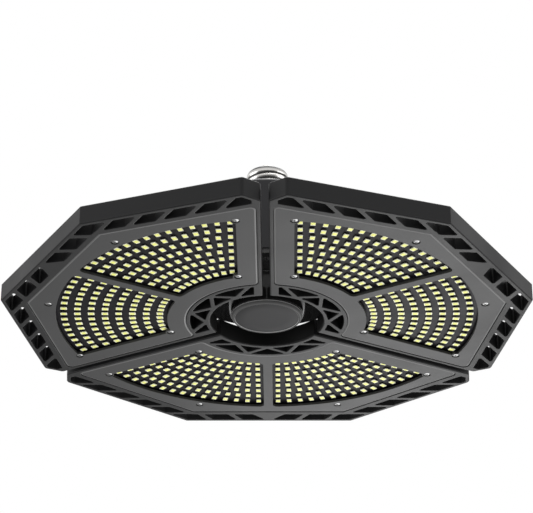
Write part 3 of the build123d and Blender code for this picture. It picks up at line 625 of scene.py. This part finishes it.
@dataclass(frozen=True)
class RecessedHead:
    """A screw or bolt head with a drive recess, standing on z = 0 with its top along +Z."""

    radius: float
    height: float
    crown: float
    drive: Drive
    drive_size: float
    drive_depth: float
    arm_width: float = 0.0

    def _spokes(self) -> np.ndarray:
        """Set out the grid's columns, with one at each corner of the recess.

        Returns:
            Their angles.
        """
        if self.drive is Drive.HEX:
            return HEX_ANGLES
        corner = degrees(asin(self.arm_width / self.drive_size))
        eighth = np.array([0.0, corner * 0.5, corner, corner + CROSS_FLANK, *CROSS_SPOKES])
        quarter = np.concatenate([eighth, 90 - eighth[-2:0:-1]])
        return np.radians((quarter + 90 * np.arange(4)[:, None]).ravel())

    def _outline(self, angles: np.ndarray) -> np.ndarray:
        """Draw the recess: a hexagon, or a cross whose radius is the arm's end over the cosine or the arm's
        side over the sine, whichever is nearer.

        Args:
            angles: The columns' angles.

        Returns:
            The recess's radius at each angle.
        """
        if self.drive is Drive.HEX:
            return hexagon(self.drive_size)
        folded = np.abs((angles + pi / 4) % (pi / 2) - pi / 4)
        side = self.arm_width / 2 / np.maximum(np.sin(folded), SMALLEST_SINE)
        return np.minimum(self.drive_size / 2 / np.cos(folded), side)

    def surface(self) -> Skin:
        """Make the head as rings: up the recess from its floor, over the top, whose level falls by the crown
        times a power of the radius, and down the side.

        Returns:
            The surface.
        """
        angles = self._spokes()
        recess = self._outline(angles)
        top_radius = recess + (self.radius - recess) * np.array(TOP_SHARES)[:, None]
        top = self.height - self.crown * (top_radius / self.radius) ** CROWN_POWER
        floor = top[0] - self.drive_depth
        inner = recess * np.array(FLOOR_SHARES)[:, None]
        radius = np.concatenate([inner, top_radius, [np.full_like(angles, self.radius)]])
        dished = floor + FLOOR_DISH_SHARE * self.drive_depth
        level = np.concatenate([[floor, dished], top, [np.zeros_like(angles)]])
        return Skin.stack(rings_round(radius, level, angles))


@dataclass(frozen=True)
class ScrewSet(PanelAssembly):
    """Screws of one kind on a panel's axis: a head at each place, all facing one way."""

    node: str
    body: str
    head: RecessedHead
    places: tuple[Point, ...]
    facing: Point
    twist: float = 1.3

    def build(self) -> None:
        """Make the heads for one panel, in place of the plain ones."""
        side = self.side
        up = np.array(self.facing, float)
        across = np.array([0.0, 0.0, 1.0]) if abs(up[2]) < 0.5 else np.array([1.0, 0.0, 0.0])
        basis = np.stack([across, np.cross(up, across), up], -1)
        turns = side.turn @ basis @ about_z(np.arange(len(self.places)) * self.twist)
        heads = self.head.surface().copied(turns, np.array(self.places) @ side.turn.T)
        piece = new_piece(f"{side.label}_{self.node}_heads", heads)
        self.wardrobe.dress(piece, "screw_steel")
        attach(piece, self.body)
        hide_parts(f"{side.label}_{self.node}")


@dataclass(frozen=True)
class HingeBolt(PanelAssembly):
    """The bolt that a panel swings on, and its nut, along X through the hinge's place."""

    centre_y: float = 58.9
    centre_z: float = -49.7
    ear_outer: float = 11.3
    radius: float = 2.5
    sides: int = 28
    thread_pitch: float = 0.8
    thread_depth: float = 0.22
    thread_start: float = 6.0
    thread_rows: int = 90
    tail: float = 1.0
    tip_chamfer: float = 0.6
    nut_flats: float = 8.0
    nut_height: float = 4.4
    nut_bore: float = 2.65
    nut_slope: float = 0.5774
    head: RecessedHead = RecessedHead(4.6, 3.2, 1.1, Drive.HEX, 4.0, 1.9)

    def _shank(self) -> Skin:
        """Make a round bar along +X whose end carries a thread: the radius falls by a wave of the distance
        along less the angle round, and the tip is chamfered.

        Returns:
            The surface.
        """
        end = self.ear_outer + self.nut_height + self.tail
        thread = np.linspace(self.thread_start, end, self.thread_rows)
        along, angle = np.concatenate([[-self.ear_outer], thread])[:, None], around(self.sides)
        wave = 0.5 - 0.5 * np.cos(tau * along / self.thread_pitch - angle)
        fade = np.clip((along - self.thread_start) / self.thread_pitch, 0, 1)
        radius = self.radius - self.thread_depth * wave * fade
        radius = np.minimum(radius, self.radius - self.tip_chamfer + (end - along))
        return Skin.stack(np.roll(rings_round(radius, along, angle), 1, axis=-1))

    def _nut(self) -> Skin:
        """Make a hexagon whose corners are turned down at both faces, with a plain bore: rings from the bore
        over one face, the two corner lines, the other face and back.

        Returns:
            The surface.
        """
        corners = hexagon(self.nut_flats)
        crown, bore = np.full_like(corners, self.nut_flats / 2), np.full_like(corners, self.nut_bore)
        drop = (corners - crown) * self.nut_slope
        low, high = np.zeros_like(corners), np.full_like(corners, self.nut_height)
        radius = np.stack([bore, crown, corners, corners, crown, bore])
        level = np.stack([low, low, low + drop, high - drop, high, high])
        return Skin.loop(np.roll(rings_round(radius, level, HEX_ANGLES), 1, axis=-1))

    def build(self) -> None:
        """Make the bolt and the nut of one panel's hinge."""
        side = self.side
        centre = np.array([0.0, self.centre_y, self.centre_z])
        to_ear = np.array([self.ear_outer, 0.0, 0.0])
        bolt = self.head.surface().placed(FACE_LEFT, -to_ear).joined(self._shank())
        for node, skin, place in (("hinge_bolt", bolt, centre), ("hinge_nut", self._nut(), centre + to_ear)):
            piece = new_piece(f"{side.label}_{node}_turned", skin.placed(side.turn, side.turn @ place))
            self.wardrobe.dress(piece, "bolt_steel")
            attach(piece, "driver")
            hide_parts(f"{side.label}_{node}")


# Sub-assemblies


@dataclass(frozen=True)
class ScrewBase(Assembly):
    """The rolled metal shell of the screw base, and the solder on its contact."""

    pitch: float = 3.629
    crest: float = 13.05
    root: float = 12.3
    skirt_radius: float = 13.1
    skirt_height: float = 4.0
    skirt_step: float = 0.15
    thread_end: float = 17.6
    thread_rows: int = 110
    height: float = 20.9
    shoulder_rows: int = 14
    wall: float = 0.9
    mouth: float = 8.6
    seat: float = 1.0
    lip: float = 0.3
    fade: float = 1.2
    contact_top: float = 25.5
    solder_radius: float = 2.3
    solder_height: float = 0.5
    solder_sunk: float = 0.02
    solder_middle: float = 0.12
    solder_rows: int = 8
    solder_sides: int = 36
    solder_waves: tuple[tuple[int, float, float], ...] = ((3, 0.04, 0.6), (5, 0.025, 0.0))

    def _shell(self) -> Skin:
        """Carry the shell's section round the axis. The outside follows r = middle + half depth times the
        cosine of height over pitch less the angle, so one ridge climbs a pitch in each turn; it fades out at
        the skirt and the shoulder, which is a quarter ellipse.

        Returns:
            The surface.
        """
        middle, half = (self.crest + self.root) / 2, (self.crest - self.root) / 2
        bore = self.root - self.wall
        rise = np.linspace(self.skirt_height + self.skirt_step, self.thread_end, self.thread_rows)
        fade = np.clip((rise - self.skirt_height) / self.fade, 0, 1)
        fade *= np.clip((self.thread_end - rise) / self.fade, 0, 1)
        bend = np.linspace(0, pi / 2, self.shoulder_rows)[1:]
        over = self.mouth + self.seat
        sections = [
            [(bore, 0.0, 0), (self.skirt_radius - self.lip, 0.0, 0), (self.skirt_radius, self.lip, 0)],
            [(self.skirt_radius, self.skirt_height - self.lip, 0), (middle + half, self.skirt_height, 0)],
            np.stack([np.full_like(rise, middle), rise, half * fade], -1),
            np.stack([over + (middle - over) * np.cos(bend),
                      self.thread_end + (self.height - self.thread_end) * np.sin(bend), 0 * bend], -1),
            [(self.mouth, self.height, 0), (self.mouth, self.height - self.wall, 0),
             (bore, self.thread_end - self.wall, 0)],
        ]
        radius, level, depth = np.concatenate(sections).T[:, :, None]
        angle = around()
        radius = radius + depth * np.cos(tau * level / self.pitch - angle)
        return Skin.loop(rings_round(radius, level, angle))

    def _solder(self) -> Skin:
        """Make a low drop: rings whose height follows a cosine of the radius, with a slightly wavy outline.

        Returns:
            The surface.
        """
        reach = np.linspace(1.0, self.solder_middle, self.solder_rows)[:, None]
        angle = around(self.solder_sides)
        waves = sum(depth * np.sin(count * angle + start) for count, depth, start in self.solder_waves)
        level = self.contact_top + self.solder_height * np.cos(reach * pi / 2) - self.solder_sunk
        return Skin.stack(rings_round(reach * self.solder_radius * (1 + waves), level, angle))

    def build(self) -> None:
        """Make the shell and the solder drop."""
        shell = new_piece("rolled_screw_shell", self._shell())
        self.wardrobe.dress(shell, "nickel_shell")
        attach(shell, "driver")
        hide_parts("screw_shell")
        solder = new_piece("contact_solder", self._solder())
        self.wardrobe.dress(solder, "contact_metal")
        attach(solder, "driver")


@dataclass(frozen=True)
class BottomCap(Assembly):
    """The housing's bottom cap: a bevelled plate with a seam above it, the drafted hub, standoffs, screws."""

    top: float = -56.0
    seam_height: float = 0.7
    seam_depth: float = 1.2
    edge: float = -57.3
    face: float = -58.2
    face_rows: int = 6
    radius: float = 50.0
    bevel_radius: float = 48.0
    hub_radius: float = 25.4
    hub_round: float = 1.0
    hub_rows: int = 8
    hub_end: float = -74.1
    hub_end_radius: float = 21.4
    bore: float = 19.5
    standoff_radius: float = 3.0
    standoff_height: float = 8.0
    standoff_circle: float = 30.0
    standoff_sides: int = 24
    screw_circle: float = 40.5
    screw_proud: float = 0.1
    crease: float = 20.0
    head: RecessedHead = RecessedHead(3.0, 2.0, 0.6, Drive.CROSS, 3.2, 1.0, 0.7)

    def _plate(self) -> Skin:
        """Carry the cap's section round the axis: top, seam, edge, straight bevel, flat face, a quarter
        circle into the hub, whose wall narrows evenly to its end, and the bore.

        Returns:
            The surface.
        """
        bend = np.linspace(0, pi / 2, self.hub_rows)
        foot = np.stack([self.hub_radius + self.hub_round * (1 - np.sin(bend)),
                         self.face - self.hub_round * (1 - np.cos(bend))], -1)
        seam, seam_radius = self.top - self.seam_height, self.radius - self.seam_depth
        rim = [(self.bore, self.top), (seam_radius, self.top), (seam_radius, seam), (self.radius, seam),
               (self.radius, self.edge)]
        inwards = np.linspace(self.bevel_radius, self.hub_radius + 2 * self.hub_round, self.face_rows)
        face = np.stack([inwards, np.full_like(inwards, self.face)], -1)
        end = [(self.hub_end_radius, self.hub_end), (self.bore, self.hub_end)]
        return Skin.loop(carried_round(rim, face, foot, end))

    def _standoff(self) -> Skin:
        """A round post: two rings and their ends."""
        radius, level = np.full((2, 1), self.standoff_radius), np.array([[0.0], [self.standoff_height]])
        return Skin.stack(rings_round(radius, level, around(self.standoff_sides)))

    def build(self) -> None:
        """Make the cap with its hub, and the heads of its screws."""
        turns = np.stack([side.turn for side in Side])
        posts = self._standoff().copied(turns, turns @ [0.0, self.standoff_circle, self.top])
        cap = new_piece("bevelled_bottom_cap", self._plate().joined(posts), self.crease)
        self.wardrobe.dress(cap, "gloss_black")
        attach(cap, "driver")
        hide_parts("bottom_cap")
        seat = self.face + self.head.height - self.screw_proud
        heads = self.head.surface().copied(turns @ FACE_DOWN, turns @ [0.0, -self.screw_circle, seat])
        screws = new_piece("cap_screw_heads", heads)
        self.wardrobe.dress(screws, "bolt_steel", "black_screw")
        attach(screws, "driver")
        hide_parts("bottom_cap_screws")


@dataclass(frozen=True)
class HubCover(Assembly):
    """The round cover of the hub: a flat face, sunk a little in a lip that rounds over to the side."""

    face: float = -76.3
    crest: float = -76.7
    shoulder: float = -74.4
    seat: float = -74.1
    face_rings: tuple[float, ...] = (1.0, 6.0, 12.0)
    face_radius: float = 18.75
    face_bend: Pair = (0.3, 0.15)
    crest_bend: Pair = (0.05, 0.12)
    crest_radius: float = 19.1
    radius: float = 20.8
    lip_rows: int = 12
    crease: float = 50.0

    def _surface(self) -> Skin:
        """Carry the cover's section round the axis: the face, a short rise to the crest, a quarter ellipse
        from the crest to the shoulder and the straight side.

        Returns:
            The surface.
        """
        bend = np.linspace(0, pi / 2, self.lip_rows)
        lip = np.stack([self.crest_radius + (self.radius - self.crest_radius) * np.sin(bend),
                        self.shoulder + (self.crest - self.shoulder) * np.cos(bend)], -1)
        (before, lift), (after, dip) = self.face_bend, self.crest_bend
        face = [(r, self.face) for r in (*self.face_rings, self.face_radius - before)]
        rise = [(self.face_radius, self.face + lift), (self.face_radius + after, self.crest + dip)]
        return Skin.stack(carried_round(face, rise, lip, [(self.radius, self.seat)]))

    def build(self) -> None:
        """Make the cover."""
        cover = new_piece("lipped_hub_cover", self._surface(), self.crease)
        self.wardrobe.dress(cover, "grey_disc")
        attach(cover, "driver")
        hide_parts("hub_cover")


@dataclass(frozen=True)
class LightPanel(PanelAssembly):
    """One panel: its LED packages and its screws. Places are on the panel's own axis, +Y."""

    half_angle: float = 60.0
    outer_row: float = 118.55
    row_pitch: float = 8.0
    row_count: int = 8
    outer_row_chips: int = 15
    chip_step: int = 2
    first_column: float = 6.15
    last_column_margin: float = 18.9
    board_face: float = -75.6
    chip_half: Pair = (1.9, 1.4)
    chip_top: float = 1.05
    chip_corner: float = 0.12
    chip_chamfer: Pair = (0.05, 0.08)
    cup_half: Pair = (1.3, 1.25)
    cup_slope: Pair = (0.06, 0.12)
    phosphor_dome: tuple[Pair, ...] = ((0.04, 0.11), (0.01, 0.03), (0.4, 0.01))
    base_half: Pair = (1.75, 1.35)
    base_top: float = 0.5
    base_lap: float = 0.02
    inner_screw: Pair = (58.85, 15.7)
    side_screw: Pair = (123.0, 15.8)
    edge_screw: Pair = (127.7, 20.0)
    cover_screw_seat: float = -77.3
    cover_head: RecessedHead = RecessedHead(2.0, 1.0, 0.4, Drive.CROSS, 2.1, 0.55, 0.5)
    foot_top: float = -64.2
    foot_screw_x: float = 11.0
    foot_screw_y: Pair = (57.4, 72.4)
    bracket_face: float = 52.9
    bracket_screw_x: float = 8.0
    bracket_screw_z: float = -38.8
    hinge_head: RecessedHead = RecessedHead(2.6, 1.8, 0.6, Drive.CROSS, 2.9, 1.0, 0.65)

    def _chips(self) -> tuple[np.ndarray, np.ndarray, np.ndarray]:
        """Set out the chips: rows one pitch apart, evenly filled from the middle strip to the panel's side,
        with fewer chips on the inner rows. The lean grows evenly along a row, so that the first chip stands
        along the strip and the last one along the side.

        Returns:
            Every chip's radius, angle and lean.
        """
        rows = []
        for row in range(self.row_count):
            radius = self.outer_row - row * self.row_pitch
            first = asin(self.first_column / radius)
            last = radians(self.half_angle) - asin(self.last_column_margin / radius)
            count = self.outer_row_chips - self.chip_step * (row // 2)
            fan, lean = np.linspace(first, last, count), np.linspace(0, radians(self.half_angle), count)
            rows += [np.stack([np.full(count, radius), pi / 2 + s * fan, pi / 2 + s * lean]) for s in (-1, 1)]
        radii, angles, leans = np.concatenate(rows, 1)
        return radii, angles, leans

    def _chip_places(self) -> tuple[np.ndarray, np.ndarray]:
        """A turn and a place for each chip, with its length along its lean and its face down."""
        radius, angle, lean = self._chips()
        return about_z(lean) @ FACE_DOWN, rings_round(radius, self.board_face, angle)

    def _stack(self, *steps: tuple[Pair, float, float]) -> Skin:
        """Make a closed stack of rectangles with cut corners.

        Args:
            *steps: For each rectangle its half sizes, how far it is set in from them, and its level.

        Returns:
            The surface.
        """
        half, inset, level = (np.array(part, float) for part in zip(*steps))
        a, b = (half - inset[:, None]).T[:, :, None]
        x = a * [1, 1, 1, -1, -1, -1, -1, 1] + self.chip_corner * np.array([0, 0, -1, 1, 0, 0, 1, -1])
        y = b * [-1, 1, 1, 1, 1, -1, -1, -1] + self.chip_corner * np.array([1, -1, 0, 0, -1, 1, 0, 0])
        return Skin.stack(np.stack([x, y, level[:, None] + 0 * x], -1))

    def _chip_body(self) -> Skin:
        """Make a package with its end tabs: straight sides, a small chamfer, a flat rim and a shallow cup.

        Returns:
            The surface.
        """
        whole, cup, top = self.chip_half, self.cup_half, self.chip_top
        (inset, drop), (taper, depth) = self.chip_chamfer, self.cup_slope
        return self._stack((whole, inset, self.base_top), (whole, 0.0, top - drop), (whole, inset, top),
                           (cup, 0.0, top), (cup, taper, top - depth))

    def _chip_phosphor(self) -> Skin:
        """The phosphor in the cup, a little domed."""
        steps = [(self.cup_half, inset, self.chip_top - drop) for inset, drop in self.phosphor_dome]
        return self._stack(*steps)

    def _chip_base(self) -> Skin:
        """The dark base that a package stands on."""
        return self._stack((self.base_half, 0.0, 0.0), (self.base_half, 0.0, self.base_top + self.base_lap))

    def _side_point(self, radius: float, margin: float) -> Pair:
        """The point at a radius, set in from the panel's side line by margin."""
        angle = radians(self.half_angle) - asin(margin / radius)
        return radius * sin(angle), radius * cos(angle)

    def _screw_sets(self) -> list[ScrewSet]:
        """List the panel's screws.

        Returns:
            The sets, each with the body it rides on.
        """
        edge_radius, edge_angle = self.edge_screw[0], radians(self.edge_screw[1])
        corners = (self._side_point(*self.inner_screw), self._side_point(*self.side_screw),
                   (edge_radius * sin(edge_angle), edge_radius * cos(edge_angle)))
        cover = tuple((s * x, y, self.cover_screw_seat) for x, y in corners for s in (1, -1))
        foot = tuple((s * self.foot_screw_x, y, self.foot_top) for y in self.foot_screw_y for s in (1, -1))
        bracket = tuple((s * self.bracket_screw_x, self.bracket_face, self.bracket_screw_z) for s in (1, -1))
        panel = f"{self.side.label}_panel"
        sets = (("cover_screws", panel, self.cover_head, cover, (0, 0, -1)),
                ("knuckle_screws", panel, self.hinge_head, foot, (0, 0, 1)),
                ("bracket_screws", "driver", self.hinge_head, bracket, (0, 1, 0)))
        return [ScrewSet(self.wardrobe, self.side, *parts) for parts in sets]

    def build(self) -> None:
        """Make one panel's LED packages and screw heads."""
        side = self.side
        turns, places = self._chip_places()
        turns, places = side.turn @ turns, places @ side.turn.T
        layers = (("led_bodies", self._chip_body(), "led_phosphor", "led_body"),
                  ("led_phosphor", self._chip_phosphor(), "led_phosphor", None),
                  ("led_bases", self._chip_base(), "led_board_mask", None))
        for name, skin, slot, finish in layers:
            piece = new_piece(f"{side.label}_{name}", skin.copied(turns, places))
            self.wardrobe.dress(piece, slot, finish)
            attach(piece, f"{side.label}_panel")
            if name == "led_bodies":
                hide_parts(f"{side.label}_led_chips")
        for screws in self._screw_sets():
            screws.build()


@dataclass(frozen=True)
class PanelLead(PanelAssembly):
    """The rubber lead from the housing to a panel, laid along one fixed route."""

    route: tuple[Pair, ...] = ((43.0, -21.0), (97.0, -21.0), (86.0, -51.5), (86.0, -60.0), (86.0, -74.0))
    order: int = 3
    steps: int = 20
    radius: float = 2.6
    sides: int = 24
    bend_start: Pair = (55.0, -21.0)
    bend_end: Pair = (86.0, -60.0)

    def _line(self) -> np.ndarray:
        """Read the route's smooth line from a spline with the route's points as its control points.

        Returns:
            The line's points.
        """
        curve = bpy.data.curves.new("lead_line", "CURVE")
        curve.dimensions = "3D"
        spline = curve.splines.new("NURBS")
        spline.points.add(len(self.route) - 1)
        for point, (y, z) in zip(spline.points, self.route):
            point.co = (0.0, y * MM, z * MM, 1.0)
        spline.order_u = self.order
        spline.use_endpoint_u = True
        spline.resolution_u = self.steps
        holder = bpy.data.objects.new("lead_line", curve)
        mesh = bpy.data.meshes.new_from_object(holder)
        line = np.zeros(len(mesh.vertices) * 3)
        mesh.vertices.foreach_get("co", line)
        bpy.data.objects.remove(holder)
        bpy.data.curves.remove(curve)
        bpy.data.meshes.remove(mesh)
        return line.reshape(-1, 3) / MM

    def build(self) -> None:
        """Carry a circle along the line: each ring stands square to the line, which keeps to one plane."""
        side, line = self.side, self._line()
        along = np.gradient(line, axis=0)
        along /= np.linalg.norm(along, axis=1)[:, None]
        out = np.cross(along, [1.0, 0.0, 0.0])
        angle = around(self.sides)[:, :, None]
        rings = line[:, None] + self.radius * (np.cos(angle) * [1.0, 0.0, 0.0] + np.sin(angle) * out[:, None])
        piece = new_piece(f"{side.label}_rubber_lead", Skin.stack(rings).placed(side.turn))
        self.wardrobe.dress(piece, "cable_rubber")
        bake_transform(piece)
        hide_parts(f"{side.label}_panel_cable")


# Studio


@dataclass(frozen=True)
class Softbox:
    """A square of soft light, in metres and watts."""

    name: str
    place: Point
    size: float
    power: float
    target: Point = (0.0, 0.0, -0.06)

    def build(self) -> None:
        """Hang the light and aim it at its target."""
        lamp = bpy.data.lights.new(self.name, "AREA")
        lamp.size, lamp.energy = self.size, self.power
        holder = new_object(self.name, lamp)
        holder.location = self.place
        holder.visible_camera = False
        aim = Vector(self.target) - Vector(self.place)
        holder.rotation_euler = aim.to_track_quat("-Z", "Y").to_euler()


@dataclass(frozen=True)
class Studio:
    """Floor, background, lights and camera, in metres, degrees and, for the lens, millimetres."""

    floor_level: float = -2.4
    floor_half: float = 30.0
    floor_colour: Colour = (0.82, 0.82, 0.81)
    floor_rough: float = 0.8
    fill: float = 0.5
    lights: tuple[Softbox, ...] = (
        Softbox("left_light", (-1.9, -0.5, -0.2), 1.5, 26.0),
        Softbox("right_light", (1.9, -0.5, -0.2), 1.5, 16.0),
        Softbox("low_light", (0.5, 0.9, -1.1), 1.2, 15.0),
        Softbox("far_light", (0.06, 0.325, -0.175), 0.2, 0.155),
        Softbox("top_light", (0.3, 0.5, 2.2), 1.8, 34.0),
    )
    camera_place: Point = (0.01125, -1.127183, -0.629929)
    camera_pitch: float = 27.8066
    camera_yaw: float = 0.59
    camera_roll: float = 0.247
    lens: float = 144.936
    sensor: float = 36.0

    def _floor(self) -> None:
        """Lay a plain pale floor, a room's height under the light."""
        h = self.floor_half
        mesh = bpy.data.meshes.new("floor")
        corners = [(x, y, self.floor_level) for x, y in ((-h, -h), (h, -h), (h, h), (-h, h))]
        mesh.from_pydata(corners, [], [(0, 1, 2, 3)])
        made = bpy.data.materials.new("floor_paint")
        made.use_nodes = True
        shader = made.node_tree.nodes["Principled BSDF"]
        shader.inputs["Base Color"].default_value = (*self.floor_colour, 1.0)
        shader.inputs["Roughness"].default_value = self.floor_rough
        mesh.materials.append(made)
        new_object("floor", mesh)

    def _background(self) -> None:
        """Show white to the camera, reflections and clear surfaces, and a softer fill to the rest."""
        world = bpy.data.worlds.new("studio")
        world.use_nodes = True
        g = Graph(world.node_tree)
        g.tree.nodes.clear()
        ray = g.add("LightPath").outputs
        seen = g.math("MAXIMUM", ray["Is Camera Ray"], ray["Is Glossy Ray"])
        seen = g.math("MAXIMUM", seen, ray["Is Transmission Ray"])
        fill = g.add("Background", {"Color": (1.0, 1.0, 1.0, 1.0), "Strength": self.fill})
        white = g.add("Background", {"Color": (1.0, 1.0, 1.0, 1.0), "Strength": 1.0})
        both = g.add("MixShader", {0: seen, 1: fill.outputs[0], 2: white.outputs[0]})
        g.add("OutputWorld", {0: both.outputs[0]})
        bpy.context.scene.world = world

    def _camera(self) -> None:
        """Set a camera below the light, looking up at the panels."""
        pitch, yaw, roll = radians(self.camera_pitch), radians(self.camera_yaw), radians(self.camera_roll)
        back = Vector((sin(yaw) * cos(pitch), -cos(yaw) * cos(pitch), -sin(pitch)))
        right = (-back).cross(Vector((0.0, 0.0, 1.0))).normalized()
        up = right.cross(-back)
        right, up = right * cos(roll) + up * sin(roll), up * cos(roll) - right * sin(roll)
        lens = bpy.data.cameras.new("camera")
        lens.lens, lens.sensor_width = self.lens, self.sensor
        camera = new_object("camera", lens)
        turn = Matrix((right, up, back)).transposed().to_4x4()
        camera.matrix_world = Matrix.Translation(self.camera_place) @ turn
        bpy.context.scene.camera = camera

    def build(self) -> None:
        """Set up the whole studio."""
        bpy.context.scene.view_settings.view_transform = "Standard"
        self._floor()
        self._background()
        for light in self.lights:
            light.build()
        self._camera()


def main() -> None:
    """Build the light's pieces in order."""
    logging.basicConfig(level=logging.INFO, format="%(name)s: %(message)s")
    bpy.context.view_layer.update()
    wardrobe = Wardrobe()
    wardrobe.dress_nodes()
    ScrewBase(wardrobe).build()
    BottomCap(wardrobe).build()
    HubCover(wardrobe).build()
    for side in Side:
        LightPanel(wardrobe, side).build()
        HingeBolt(wardrobe, side).build()
        PanelLead(wardrobe, side).build()
    Studio().build()


if __name__ == "__main__":
    main()
